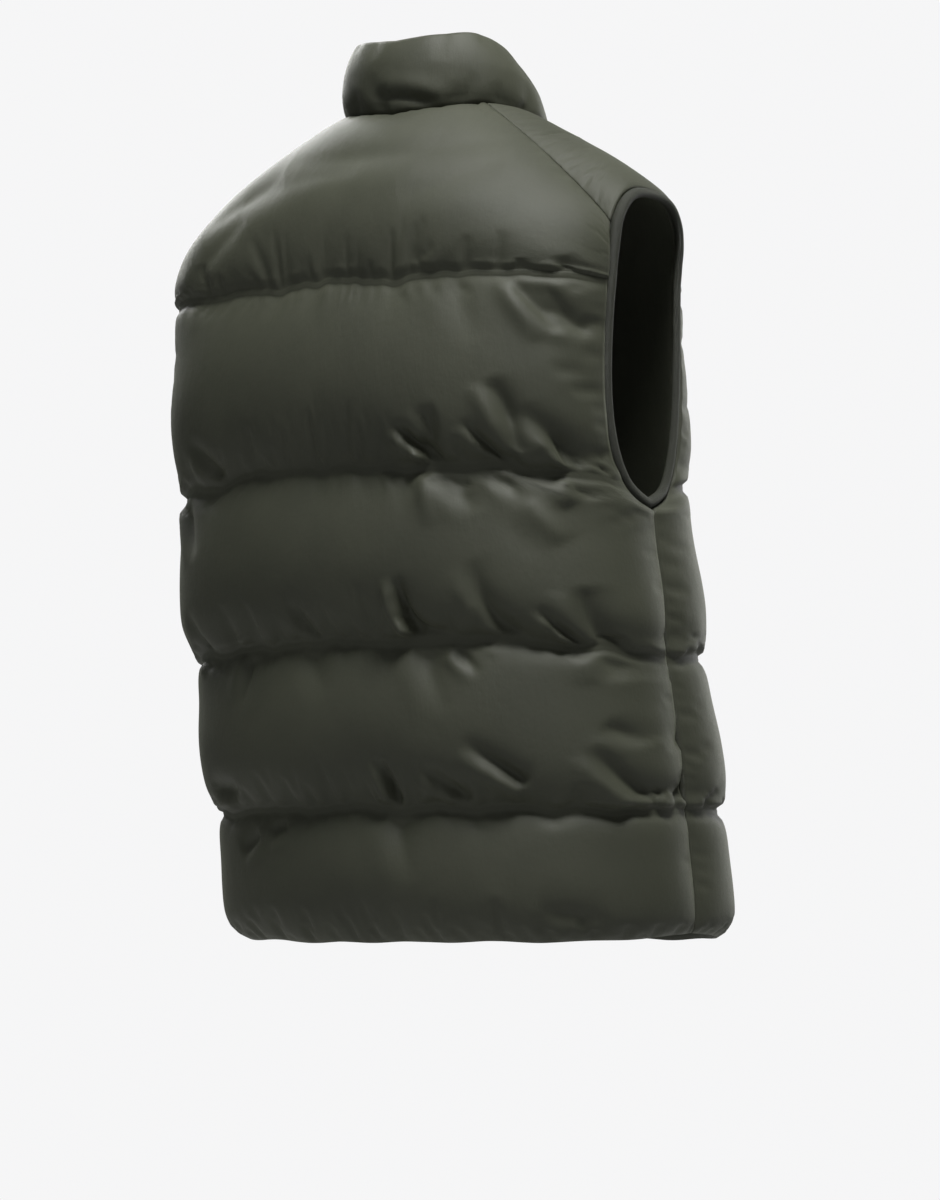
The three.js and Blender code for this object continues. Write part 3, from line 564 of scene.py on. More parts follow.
# Creases read from the photo
backCreases = [
    # first channel, below the yoke
    fold(-150, -118, -182, -168, 5, 4.5, ridge=0.7),
    fold(-167, -131, -197, -170, 5, 4.0, ridge=0.5),
    fold(-183, -109, -192, -136, 4, 2.5),
    fold(-108, -130, -128, -176, 8, 1.3, ridge=0.4, ends="start"),
    # second channel, running down to the right
    fold(-141, -206, -156, -262, 5.5, 4.5, ridge=0.8, bow=-4),
    fold(-160, -226, -196, -288, 6, 6.5, ridge=0.7, bow=-6, ends="end"),
    fold(-88, -226, -92, -250, 4, 2.5),
    fold(-62, -236, -94, -268, 4.2, 8.0, ridge=0.9, **crisp),
    fold(-84, -244, -88, -266, 3.6, 6.0, ridge=0.6, ends="end", broad=0.2, core=0.9),
    fold(-118, -236, -146, -268, 3.6, 4.5, ridge=0.9, **crisp),
    fold(-178, -246, -190, -280, 3.4, 4.5, ridge=0.8, **crisp),
    # third channel
    fold(-108, -276, -118, -290, 3.4, 3.0, ridge=0.8, ends="start", broad=0.3, core=0.8),
    fold(-168, -380, -190, -408, 3.6, 4.5, ridge=0.9, **crisp),
    fold(-104, -412, -124, -432, 3.6, 3.0, ridge=0.8, ends="start", broad=0.3, core=0.8),
    fold(-138, -276, -156, -297, 4.5, 3.5, ends="start"),
    fold(-98, -276, -126, -307, 6, 3.5, ends="start"),
    fold(-78, -276, -92, -318, 6, -3.0, ridge=0.2, ends="start"),
    fold(-124, -344, -150, -404, 6, 5.5, ridge=0.6, bow=5, ends="end"),
    fold(-64, -356, -74, -402, 4.4, 9.0, ridge=1.0, bow=3, **crisp),
    fold(-58, -384, -92, -400, 3.6, 6.0, ridge=0.7, ends="end", broad=0.2, core=0.9),
    fold(-76, -410, -100, -462, 7.5, 2.4, ridge=0.5, ends="start"),
    fold(-158, -298, -182, -330, 7, -2.5, ridge=0.3),
    fold(-196, -366, -211, -436, 6, 5.0, ridge=0.6),
    # fourth channel
    fold(-112, -482, -154, -512, 5, 5.0, ridge=0.8, ends="end"),
    fold(-72, -500, -108, -524, 5, 4.5, ridge=0.7, ends="end"),
    fold(-205, -470, -224, -484, 5, 3.0),
    fold(-200, -488, -222, -522, 5, 5.0, ridge=1.0, ends="end"),
    fold(38, -372, 22, -398, 4.0, 4.0, ridge=0.6, ends="end"),
    fold(30, -410, 8, -446, 8, 1.8, ridge=0.4, ends="start"),
    fold(150, -514, 112, -518, 5, 4.0, ridge=0.8),
    # hem channel
    fold(-40, -496, -48, -526, 3.8, 7.0, ridge=0.8, **crisp),
    fold(-46, -540, -64, -590, 8, 2.3, ridge=0.5, ends="start"),
    fold(80, -552, 60, -545, 4.5, 3.0),
    fold(114, -566, 92, -552, 5, 3.5),
    fold(-160, -615, -204, -619, 8, 3.0, ridge=0.4),
    # drag lines over the yoke
    fold(70, -16, -112, -9, 10, 1.6, ridge=0.5, bow=3),
    fold(110, -44, -10, -30, 11, 1.2, ridge=0.5, bow=-4),
    fold(-54, -56, -124, -30, 11, 1.0, ridge=0.4),
    fold(70, -24, 150, -66, 9, 1.8, ridge=0.5),
    fold(96, -60, 160, -110, 9, 1.5, ridge=0.5),
    # the side that the photo shows least
    fold(150, -236, 120, -264, 5, 5, ridge=0.7, ends="end"),
    fold(176, -282, 150, -330, 6, 4.0, ridge=0.6, ends="start"),
    fold(168, -372, 146, -414, 5, 4.0, ridge=0.6, ends="end"),
    fold(88, -404, 98, -452, 5, 3.5, ridge=0.6, ends="start"),
]


# How far a channel's filling hangs down over the quilt line below it, as shares of its puff
hangShare = {"most": 0.55, "yoke": 0.5, "yokeReach": 0.45}


def overhang(row):
    if row["channel"] < 0:
        return 0.0
    if row["rise"] > 0:
        return hangShare["yoke"] * math.sin(math.pi * min(1.0, row["share"] / hangShare["yokeReach"]))
    return math.sin(math.pi * row["share"]) * (1 - row["share"])


# Short puckers along the quilt lines: stronger above a line than below it, and weaker over the chest
pucker = {
    "above": 1.1, "below": 0.5, "chest": 0.6,
    "length": (10, 42), "width": (2.6, 6.0), "depth": (0.4, 1.6), "ridge": (0.2, 0.6), "lean": 0.35,
    "longer": 1.5, "deeper": 1.6, "fromZip": 6, "fromEdge": 4,
    "first": (4, 20), "near": (10, 24), "far": (26, 80),
}


def randomPuckers(seed, isBack):
    rng = random.Random(seed)
    puckers = []
    edges = []
    for level in quiltLevels:
        edges += [(level - bandHalf, -1), (level + bandHalf, 1)]
    edges.append((hemLevel, 1))
    low = -panelReach if isBack else pucker["fromZip"]
    for level, way in edges:
        x = low + rng.uniform(*pucker["first"])
        strength = pucker["below"] if way < 0 else pucker["chest"] if level > chestLevel else pucker["above"]
        while x < panelReach - pucker["fromEdge"]:
            length = rng.uniform(*pucker["length"]) * (1.0 if rng.random() < 0.75 else pucker["longer"])
            lean = rng.gauss(0, pucker["lean"]) * length
            width = rng.uniform(*pucker["width"])
            depth = strength * rng.uniform(*pucker["depth"]) * (1 if rng.random() < 0.8 else pucker["deeper"])
            puckers.append(dict(
                start=(x, level), end=(x + lean, level + way * length), width=width, depth=depth,
                ridge=rng.uniform(*pucker["ridge"]), ends="start", broad=0.0, core=1.0,
            ))
            x += rng.choice((rng.uniform(*pucker["near"]), rng.uniform(*pucker["far"])))
    return puckers


# The outer cloth is cut larger than the seams it is sewn to, and settles into puckers over its filling
settling = {
    "bending": 2.0, "stiffness": 15, "shear": 6, "quality": 5, "pressure": 150, "frames": 18,
    "extraCloth": 0.03, "calmCloth": 0.008, "mostMoved": 13.0, "startPuff": 0.84,
}


def settleCloth(grid, pinned, calm, piece):
    rows, columns = grid.shape[:2]
    faces = [
        (j * columns + i, j * columns + i + 1, (j + 1) * columns + i + 1, (j + 1) * columns + i)
        for j in range(rows - 1) for i in range(columns - 1)
    ]
    if piece["turned"]:  # its cloth runs the other way round
        faces = [face[::-1] for face in faces]
    cloth = makeMesh(piece["name"] + "Settling", grid.reshape(-1, 3), faces)
    seams = cloth.vertex_groups.new(name="seams")
    seams.add(np.flatnonzero(pinned.ravel()).tolist(), 1.0, "REPLACE")
    smooth = cloth.vertex_groups.new(name="smooth")
    for value in np.unique(calm):
        smooth.add(np.flatnonzero(calm.ravel() == value).tolist(), float(value), "REPLACE")
    modifier = cloth.modifiers.new("filling", "CLOTH")
    setting = modifier.settings
    setting.quality = settling["quality"]
    setting.tension_stiffness = settling["stiffness"]
    setting.compression_stiffness = settling["stiffness"]
    setting.shear_stiffness = settling["shear"]
    setting.bending_stiffness = settling["bending"]
    setting.vertex_group_mass = "seams"
    setting.shrink_min = -settling["extraCloth"]  # below zero the cloth grows
    setting.shrink_max = -settling["calmCloth"]
    setting.vertex_group_shrink = "smooth"
    setting.use_pressure = True
    setting.uniform_pressure_force = settling["pressure"]
    setting.effector_weights.gravity = 0
    modifier.point_cache.frame_start = 1
    modifier.point_cache.frame_end = settling["frames"]
    scene = bpy.context.scene
    for shot in range(1, settling["frames"] + 1):
        scene.frame_set(shot)
    worn = cloth.evaluated_get(bpy.context.evaluated_depsgraph_get())
    co = np.empty(len(worn.data.vertices) * 3, np.float32)
    worn.data.vertices.foreach_get("co", co)
    scene.frame_set(1)
    bpy.data.objects.remove(cloth)
    moved = co.reshape(grid.shape).astype(float) / mm - grid
    reach = np.linalg.norm(moved, axis=-1, keepdims=True)
    report(f"{piece['name']} settled, moved {reach.mean():.1f} mm on average and {reach.max():.1f} at most")
    return moved * np.minimum(1, settling["mostMoved"] / np.maximum(reach, 1e-6))


# Twice as many points each way, on a smooth curve through the old ones
def finer(grid):
    for axis in (0, 1):
        g = np.moveaxis(grid, axis, 0)
        out = np.empty((2 * len(g) - 1,) + g.shape[1:])
        out[::2] = g
        padded = np.concatenate([2 * g[:1] - g[1:2], g, 2 * g[-1:] - g[-2:-1]])
        out[1::2] = (9 * (padded[1:-2] + padded[2:-1]) - padded[:-3] - padded[3:]) / 16
        grid = np.moveaxis(out, 0, axis)
    return grid


# The neck's edge is level, the shoulder seam shares one direction, and the zip's edge faces forward
edgeReach = {"seam": 7.0, "neck": 6.0, "zip": 5.0}


def withEdges(facing, a, rise, isBack):
    def fadeFrom(edge, away):
        return np.exp(-((away / edgeReach[edge]) ** 2))

    atSeam = fadeFrom("seam", (1 - rise) * yokeHeight)[:, None, None]
    if isBack:
        onNeck = (a <= neckShare)[:, None]
        onShoulder = shoulderFacing(np.clip((a - neckShare) / (1 - neckShare), 0.002, 1))
        seam = np.where(onNeck, neckFacing(shoulderTurn * a / neckShare), onShoulder)
        return unit(lerp(facing, seam[None], atSeam))
    facing = unit(lerp(facing, shoulderFacing(np.clip(a, 0.002, 1))[None], atSeam))
    turns = lerp(frontTurn, shoulderTurn, np.clip((rise - neckPointRise) / (1 - neckPointRise), 0, 1))
    onNeck = (rise >= neckPointRise)[:, None, None]
    atNeck = fadeFrom("neck", a * panelReach)[None, :, None] * onNeck
    facing = unit(lerp(facing, neckFacing(turns)[:, None, :], atNeck))
    flat = unit(facing * np.array([0, 1, 1]))
    return unit(lerp(facing, flat, fadeFrom("zip", a * panelReach)[None, :, None] * ~onNeck))


# What some creases take off a puff: never more than its share, and little where the puff is thin
def dentOf(points, creases, puff, most, thin):
    dent = np.zeros(len(points))
    for crease in creases:
        dent += creaseHeight(points, crease)
    return np.maximum(dent.reshape(puff.shape), -most * puff) * np.clip(puff / thin, 0, 1)


# Slow swelling along a piece, so that no two channels are alike
def swollen(puff, points, seed, slow, small):
    long = noiseField(points, 1 / slow["length"], seed).reshape(puff.shape)
    short = noiseField(points, 1 / small["length"], seed + 1).reshape(puff.shape)
    return puff * (1 + slow["share"] * long + small["share"] * short)


clothStep = 5.4  # between the points that settle, and half of it in the finished shell
panelForm = {
    "spread": 1.06, "slow": dict(length=85, share=0.16), "small": dict(length=34, share=0.07),
    "puckerMost": 0.6, "creaseMost": 0.75, "thinPuff": 5.0, "liningAway": 900,
}
photoCrease = {"depth": 1.75, "width": 0.8}  # the lists' creases are made deeper and narrower
hemForm = {"side": 8.0, "wave": 2.6, "reach": 90, "waveLength": 46}  # it rises at the sides, and waves
calmCloth = {"yoke": 0.9, "start": 0.15, "growth": 1.9}  # 1 holds the least spare cloth


def hemLift(rows, a, points, seed):
    nearHem = [max(0.0, 1 - (row["height"] - hemLevel) / hemForm["reach"]) ** 1.5 for row in rows]
    along = noiseField(points * [1, 0], 1 / hemForm["waveLength"], seed).reshape(len(rows), len(a))
    return np.array(nearHem)[:, None] * (hemForm["side"] * a ** 3 + hemForm["wave"] * along)


def calmOf(row):
    if row["rise"] > 0:
        return calmCloth["yoke"]
    return min(1.0, calmCloth["start"] + calmCloth["growth"] * row["share"]) if row["channel"] >= 0 else 0.0


# The quilt lines and all edges stay where they are sewn while the cloth between them settles
def settled(outer, rows, piece):
    isLine = np.array([row["channel"] < 0 or row["share"] in (0.0, 1.0) for row in rows])
    pinned = np.broadcast_to(isLine[:, None], outer.shape[:2]).copy()
    pinned[:, [0, -1]] = True
    pinned[[0, -1]] = True
    calm = np.round(np.array([calmOf(row) for row in rows]), 2)
    return outer + settleCloth(outer, pinned, np.broadcast_to(calm[:, None], outer.shape[:2]), piece)


def makePanel(piece, creases):
    isBack, seed, form = piece["isBack"], piece["seed"], panelForm
    rows = panelRows(clothStep)
    count = round((2 if isBack else 1) * panelReach * form["spread"] / clothStep)
    across = np.linspace(-1 if isBack else 0, 1, count + 1)
    a = np.abs(across)
    lower, upper = (backLower, backUpper) if isBack else (frontLower, frontUpper)
    base, facing = gridOf(lower, upper, a, rows, isBack)
    facing = withEdges(facing, a, np.array([row["rise"] for row in rows]), isBack)
    flip = np.broadcast_to((across < 0) | piece["isRight"], base.shape[:2])[..., None]
    base = np.where(flip, mirrored(base), base)
    facing = np.where(flip, facing * np.array([-1, 1, 1]), facing)

    # where each point lies on the cloth
    height = np.array([row["height"] for row in rows])
    cut = np.stack(np.broadcast_arrays(across * panelReach, height[:, None]), -1)
    flatCut = cut.reshape(-1, 2)

    puff = np.array([panelPuff(row, a, isBack) for row in rows])
    puff = swollen(puff, flatCut, seed, form["slow"], form["small"])
    cloth = [bandCloth if row["rise"] == 0 else lerp(bandCloth, edgeCloth, row["share"] ** 4) for row in rows]
    lineRise = np.array([liftAt(row, a, isBack) for row in rows])
    startPuff = settling["startPuff"]
    outer = base + facing * (np.array(cloth)[:, None] + lineRise + puff * startPuff)[..., None]
    hang = np.array([overhang(row) for row in rows])
    outer[..., 2] -= hang[:, None] * puff * hangShare["most"]
    outer[..., 2] += wanderOf(rows, a, cut, seed + 3, isBack)
    lift = hemLift(rows, a, flatCut, seed + 2)
    outer[..., 2] += lift
    base = base + np.array([0, 0, 1]) * lift[..., None]

    dent = dentOf(flatCut, randomPuckers(seed, isBack), puff, form["puckerMost"], form["thinPuff"])
    outer = outer + facing * dent[..., None]
    outer = settled(outer, rows, piece)
    inner = base.copy()
    drawIn(outer, seamGap / 2)
    drawIn(inner, seamGap / 2)

    # the creases of the lists go where they are seen
    shell, shellFacing, shellPuff = finer(outer), unit(finer(facing)), finer(puff)
    deep = [{**crease, **{key: crease[key] * by for key, by in photoCrease.items()}} for crease in creases]
    seen = shell[..., [0, 2]].reshape(-1, 2)
    dent = dentOf(seen, deep, shellPuff, form["creaseMost"], form["thinPuff"])
    shell = shell + shellFacing * dent[..., None]

    points = np.concatenate([shell.reshape(-1, 3), inner.reshape(-1, 3)])
    uv = np.concatenate([finer(cut).reshape(-1, 2), flatCut + [form["liningAway"], 0]])
    obj = makeMesh(piece["name"], points, wallFaces(*puff.shape), uv)
    faceOutward(obj)
    return obj, outer, inner


def faceOutward(obj):
    bm = bmesh.new()
    bm.from_mesh(obj.data)
    bmesh.ops.recalc_face_normals(bm, faces=bm.faces)
    if bm.calc_volume(signed=True) < 0:
        bmesh.ops.reverse_faces(bm, faces=bm.faces)
    bm.to_mesh(obj.data)
    bm.free()


backPiece = {"name": "back", "isBack": True, "isRight": False, "seed": 11, "turned": True}
back, backOuter, backInner = makePanel(backPiece, backCreases)
report("back panel")

# The fronts don't show in the photo, so their creases are like those of the back
leftCreases = [
    fold(52, -212, 84, -264, 4.5, 5, ridge=0.5, ends="end", bow=4),
    fold(120, -236, 96, -266, 4, 4, ridge=0.5, ends="end"),
    fold(168, -222, 132, -268, 5, 4.5, ridge=0.5, ends="end", bow=-4),
    fold(64, -344, 30, -398, 4.5, 5, ridge=0.5, ends="end", bow=4),
    fold(92, -330, 118, -400, 5, 5, ridge=0.6, ends="end", bow=-5),
    fold(176, -356, 158, -400, 4.5, 4, ridge=0.5, ends="end"),
    fold(28, -478, 60, -528, 4.5, 4.5, ridge=0.5, ends="end", bow=3),
    fold(146, -470, 112, -528, 5, 5, ridge=0.6, ends="end", bow=-4),
    fold(96, -74, 120, -116, 4.5, 3.5, ridge=0.5, ends="end"),
    fold(60, -412, 84, -470, 6, 1.8, ridge=0.5, ends="start"),
]
rightCreases = [
    fold(-58, -206, -92, -264, 5, 5, ridge=0.6, ends="end", bow=-5),
    fold(-140, -232, -122, -266, 4, 4, ridge=0.5, ends="end"),
    fold(-46, -352, -70, -398, 4.5, 5, ridge=0.5, ends="end"),
    fold(-150, -332, -116, -400, 5, 5, ridge=0.6, ends="end", bow=5),
    fold(-184, -368, -170, -398, 4, 3.5, ridge=0.5, ends="end"),
    fold(-90, -474, -122, -528, 4.5, 5, ridge=0.6, ends="end", bow=-4),
    fold(-176, -492, -160, -526, 4, 3.5, ridge=0.5, ends="end"),
    fold(-70, -70, -92, -116, 4.5, 3.5, ridge=0.5, ends="end"),
    fold(-130, -276, -108, -330, 6, 1.8, ridge=0.5, ends="start"),
]
leftPiece = {"name": "frontLeft", "isBack": False, "isRight": False, "seed": 23, "turned": False}
rightPiece = {"name": "frontRight", "isBack": False, "isRight": True, "seed": 37, "turned": True}
left, leftOuter, leftInner = makePanel(leftPiece, leftCreases)
right, rightOuter, rightInner = makePanel(rightPiece, rightCreases)
report("front panels")

# The collar is one padded channel that stands on the neck seam, a row for each direction round the neck
collarShape = [
    dict(turn=0, height=58, lean=6, puff=12),
    dict(turn=45, height=57, lean=9, puff=11),
    dict(turn=90, height=49, lean=20, puff=11),
    dict(turn=135, height=47, lean=32, puff=11),
    dict(turn=180, height=50, lean=30, puff=7),
]
# Here x runs along the collar to the vest's left, from the middle of the back, and z up the collar
collarCreases = [
    fold(-42, 1, 16, 15, 3.4, 4.5, ridge=0.5, bow=3),
    fold(-62, 0, -70, 26, 5, 2.4, ends="start"),
    fold(-96, 0, -88, 20, 5, 2.2, ends="start"),
    fold(10, 0, 20, 30, 5, 2.0, ends="start"),
    fold(44, 0, 38, 22, 5, 2.6, ends="start"),
    fold(78, 0, 84, 18, 4.5, 2.2, ends="start"),
    fold(-48, 60, -40, 34, 5, 1.8, ends="start"),
    fold(24, 60, 16, 40, 5, 1.6, ends="start"),
    fold(-120, 0, -128, 28, 5, 2.4, ends="start"),
    fold(126, 0, 120, 24, 5, 2.2, ends="start"),
    fold(-160, 55, -168, 24, 5, 1.8, ends="start"),
    fold(165, 0, 172, 30, 5, 2.0, ends="start"),
    fold(-204, 0, -196, 24, 5, 2.0, ends="start"),
    fold(204, 56, 196, 30, 5, 1.8, ends="start"),
]
collarPiece = {
    "name": "standCollar", "seed": 51, "around": 210, "outside": 26, "inside": 10, "cloth": 5.0, "lift": 1.8,
    "footDrop": 3.2, "footShare": 0.12, "hang": 3.6, "hangShare": 0.55,
    "leanEase": 1.3, "bulge": (0.93, 0.48),
    "radius": 86, "height": 56, "liningAway": 900, "lining": (0.97, 0.03),
    "slow": dict(length=60, share=0.14), "small": dict(length=26, share=0.08), "most": 0.7, "thinPuff": 6,
    "puckers": dict(reach=255, length=(8, 20), width=(2.6, 4.5), depth=(0.5, 1.5), apart=(9, 30), lean=4),
}


def collarPoints(turn, share, out):
    lean = fromTable(collarShape, "turn", np.abs(turn), "lean") * share ** collarPiece["leanEase"]
    height = fromTable(collarShape, "turn", np.abs(turn), "height")
    p = neckPoint(np.abs(turn)) + neckFacing(np.abs(turn)) * (out - lean)[..., None]
    p[..., 2] += collarPiece["lift"] + share * height
    return p


def collarPuckers(piece):
    rng = random.Random(piece["seed"])
    high, form, puckers = piece["height"], piece["puckers"], []
    x = -float(form["reach"])
    while x < form["reach"]:
        length = rng.uniform(*form["length"])
        atFoot = rng.random() < 0.7  # the others hang from the top, and are shorter
        end = (x + rng.gauss(0, form["lean"]), length if atFoot else high - length * 0.6)
        puckers.append(dict(
            start=(x, 0 if atFoot else high), end=end,
            width=rng.uniform(*form["width"]), depth=rng.uniform(*form["depth"]), ends="start",
        ))
        x += rng.uniform(*form["apart"])
    return puckers


# The faces of a tube of rings with so many points each, the last ring joined to the first if it is closed
def tubeFaces(rings, size, isClosed=False):
    faces = []
    for j in range(rings if isClosed else rings - 1):
        low, high = j * size, (j + 1) % rings * size
        for i in range(size):
            k = (i + 1) % size
            faces.append((low + i, low + k, high + k, high + i))
    return faces


# The collar's ends are closed between its outside and its inside
def collarFaces(loops, around, outside):
    faces = tubeFaces(loops, around)
    for j in (0, loops - 1):
        o, n = list(range(outside + 1)), list(range(around - 1, outside, -1))
        a, b = 0, 0
        while a < len(o) - 1 or b < len(n) - 1:
            if b == len(n) - 1 or (a < len(o) - 1 and (a + 1) / len(o) <= (b + 1) / len(n)):
                faces.append((j * around + o[a], j * around + o[a + 1], j * around + n[b]))
                a += 1
            else:
                faces.append((j * around + o[a], j * around + n[b + 1], j * around + n[b]))
                b += 1
    return faces


def makeCollar(piece):
    outShares = np.linspace(0, 1, piece["outside"] + 1)
    shares = np.concatenate([outShares, np.linspace(*piece["lining"], piece["inside"])])
    turns = np.linspace(-frontTurn, frontTurn, piece["around"] + 1)
    turn, share = np.meshgrid(turns, shares, indexing="ij")
    isOutside = np.broadcast_to(np.arange(len(shares)) <= piece["outside"], turn.shape)
    cut = np.stack([np.radians(turn) * piece["radius"], share * piece["height"]], -1).reshape(-1, 2)
    low, high = piece["bulge"]
    puff = fromTable(collarShape, "turn", np.abs(turn), "puff") * np.sin(np.pi * share * low) ** high
    puff = swollen(puff, cut, piece["seed"], piece["slow"], piece["small"])
    dent = dentOf(cut, collarCreases + collarPuckers(piece), puff, piece["most"], piece["thinPuff"])
    p = collarPoints(turn, share, np.where(isOutside, piece["cloth"] + puff + dent, 0.0))
    # the foot sinks into the neck seam, and the filling hangs a little
    p[..., 2] -= piece["footDrop"] * np.clip(1 - share / piece["footShare"], 0, 1)
    hang = np.sin(np.pi * np.minimum(share / piece["hangShare"], 1))
    p[..., 2] -= np.where(isOutside, piece["hang"] * hang, 0)
    ends = np.abs(turn) > frontTurn - 0.01
    p[..., 0] = np.where(ends, zipHalf + seamGap / 2, p[..., 0]) * np.where(turn < 0, -1, 1)
    uv = np.where(isOutside.reshape(-1, 1), cut, cut + [piece["liningAway"], 0])
    obj = makeMesh(piece["name"], p.reshape(-1, 3), collarFaces(*turn.shape, piece["outside"]), uv)
    faceOutward(obj)
    return obj


collar = makeCollar(collarPiece)
report("collar")


# The paths of the bindings and of the zip are in even steps
def resample(path, count, isRing):
    p = np.concatenate([path, path[:1]]) if isRing else path
    reach = np.concatenate([[0], np.cumsum(np.linalg.norm(np.diff(p, axis=0), axis=1))])
    at = np.linspace(0, reach[-1], count + 1)
    out = np.stack([np.interp(at, reach, p[:, k]) for k in range(p.shape[1])], -1)
    return (out[:-1] if isRing else out), reach[-1]


def smoothed(path, times, isRing):
    p = path.copy()
    for _ in range(times):
        if isRing:
            p = (np.roll(p, 1, 0) + 2 * p + np.roll(p, -1, 0)) / 4
        else:
            p[1:-1] = (p[:-2] + 2 * p[1:-1] + p[2:]) / 4
    return p


# An elastic binding is folded over the edge of each armhole
bindingPiece = {
    "around": 260, "ring": 20, "half": 4.5, "middle": 5.1, "rise": 2.4, "thick": 3.3, "corner": 0.8,
    "crown": 0.5, "smoothing": 7, "waves": 9, "waveTurns": (9, 14, 21, 33, 47), "wave": 0.056, "cutWidth": 20,
}


def armholeEdge(outer, inner):
    low = int(np.argmax(inner[:, 2] > underarmLevel + 1)) - 1
    return np.concatenate([inner[low:], outer[low:]], 1)


# The elastic pulls the binding in at places all round
def bindingWave(seed):
    rng = random.Random(seed)
    count = bindingPiece["around"]
    wave = np.zeros(count)
    for k in range(bindingPiece["waves"]):
        size, turns, start = rng.uniform(0.3, 1), rng.choice(bindingPiece["waveTurns"]), rng.uniform(0, 6)
        wave += size * np.sin(np.arange(count) / count * 2 * math.pi * turns + start)
    return wave * bindingPiece["wave"]


def makeBinding(name, backEdge, frontEdge, seed):
    piece = bindingPiece
    path = np.concatenate([armholeEdge(*backEdge), armholeEdge(*frontEdge)[1:][::-1]])
    both = np.concatenate([path[:, :3], unit(path[:, 3:] - path[:, :3])], 1)
    both, length = resample(both, piece["around"], True)
    both = smoothed(both, piece["smoothing"], True)
    inner, outward = both[:, :3], both[:, 3:]
    along = unit(np.roll(inner, -1, 0) - np.roll(inner, 1, 0))
    outward = unit(outward - along * np.sum(outward * along, 1, keepdims=True))
    into = np.cross(along, outward)  # towards the middle of the armhole
    into *= np.sign(np.sum(into * (inner.mean(0) - inner), 1, keepdims=True))

    ring = np.linspace(0, 2 * math.pi, piece["ring"], endpoint=False)
    c, s = np.cos(ring), np.sin(ring)
    x = piece["middle"] + piece["half"] * np.sign(c) * np.abs(c) ** piece["corner"]
    thick = piece["thick"] + bindingWave(seed)
    y = piece["rise"] + thick[:, None] * np.sign(s) * np.abs(s) ** piece["corner"]
    y = y + piece["crown"] * np.cos((x - piece["middle"]) / piece["half"] * 2)
    points = inner[:, None] + into[:, None] * x[None, :, None] + outward[:, None] * y[..., None]

    u = np.arange(piece["around"]) / piece["around"] * length
    uv = np.stack(np.meshgrid(u, ring / (2 * math.pi) * piece["cutWidth"], indexing="ij"), -1).reshape(-1, 2)
    obj = makeMesh(name, points.reshape(-1, 3), tubeFaces(piece["around"], piece["ring"], True), uv)
    faceOutward(obj)
    return obj, length


def sideEdge(outer, inner, i):
    return outer[:, i], inner[:, i]


backLeftEdge, backRightEdge = sideEdge(backOuter, backInner, -1), sideEdge(backOuter, backInner, 0)
leftEdge, rightEdge = sideEdge(leftOuter, leftInner, -1), sideEdge(rightOuter, rightInner, -1)
bindingLeft, bindingLength = makeBinding("bindingLeft", backLeftEdge, leftEdge, 5)
bindingRight, _ = makeBinding("bindingRight", backRightEdge, rightEdge, 6)
report("bindings")

# The zip runs from the hem to the top of the collar, with a tape on each side of its middle
tapePiece = {
    "steps": 320, "collarSteps": 8, "smoothing": 2,
    # across from the middle and out from the lining, round the tape
    "outline": [
        (0.05, 0.4), (3.0, 0.4), (6.0, 0.4), (9.9, 0.4), (9.9, 2.0), (6.0, 2.0), (3.2, 2.0), (0.05, 2.0),
    ],
}


def zipLine():
    upTo = next(j for j, row in enumerate(panelRows(clothStep)) if row["rise"] > neckPointRise)
    steps = tapePiece["collarSteps"]
    high = collarPoints(np.full(steps, frontTurn), np.linspace(0.03, 0.97, steps), np.zeros(steps))
    path = np.concatenate([leftInner[:upTo, 0], high])
    path[:, 0] = shiftAt(path[:, 2])
    path, length = resample(path, tapePiece["steps"], False)
    return smoothed(path, tapePiece["smoothing"], False), length


zipPathPoints, zipLength = zipLine()


def zipOutward(path):
    up = np.gradient(path, axis=0)
    up[:, 0] = 0
    up = unit(up)
    return np.stack([np.zeros(len(up)), -up[:, 2], up[:, 1]], -1)


def makeTape(name, side):
    outward, outline = zipOutward(zipPathPoints), tapePiece["outline"]
    points = np.stack([
        zipPathPoints + outward * height + np.array([side * across, 0, 0]) for across, height in outline
    ], 1)
    count, ring = points.shape[:2]
    faces = tubeFaces(count, ring)
    faces += [tuple(range(ring)), tuple((count - 1) * ring + i for i in range(ring))]
    v = np.arange(count) / (count - 1) * zipLength
    u = np.array([across for across, _ in outline])
    uv = np.stack(np.broadcast_arrays(u[None, :], v[:, None]), -1).reshape(-1, 2)
    obj = makeMesh(name, points.reshape(-1, 3), faces, uv)
    faceOutward(obj)
    return obj


tapeLeft = makeTape("tapeLeft", 1)
tapeRight = makeTape("tapeRight", -1)

# One tooth is copied along the zip, every second one turned to the other tape
toothPiece = {
    "pitch": 2.1, "wide": 3.1, "tall": 1.25, "deep": 2.0, "aside": 0.32, "rounding": 0.28,
    "out": 1.95, "bottomGap": 3.0, "topGap": 17.0,
}


def makeToothSource():
    wide, tall, deep = (toothPiece[key] * mm for key in ("wide", "tall", "deep"))
    bm = bmesh.new()
    bmesh.ops.create_cube(bm, size=1)
    bmesh.ops.scale(bm, vec=(wide, tall, deep), verts=bm.verts)
    bmesh.ops.translate(bm, vec=(wide * toothPiece["aside"], 0, 0), verts=bm.verts)
    bmesh.ops.bevel(bm, geom=bm.edges[:], offset=toothPiece["rounding"] * mm, segments=2, affect="EDGES")
    mesh = bpy.data.meshes.new("tooth")
    bm.to_mesh(mesh)
    bm.free()
    for polygon in mesh.polygons:
        polygon.use_smooth = True
    obj = bpy.data.objects.new("tooth", mesh)
    bpy.context.scene.collection.objects.link(obj)
    return obj


def addNode(tree, kind, values=None, **settings):
    node = tree.nodes.new(kind)
    for name, value in settings.items():
        setattr(node, name, value)
    for name, value in (values or {}).items():
        node.inputs[name].default_value = value
    return node


def joinNodes(tree, *joints):
    for start, way, end, into in joints:
        tree.links.new(start.outputs[way], end.inputs[into])


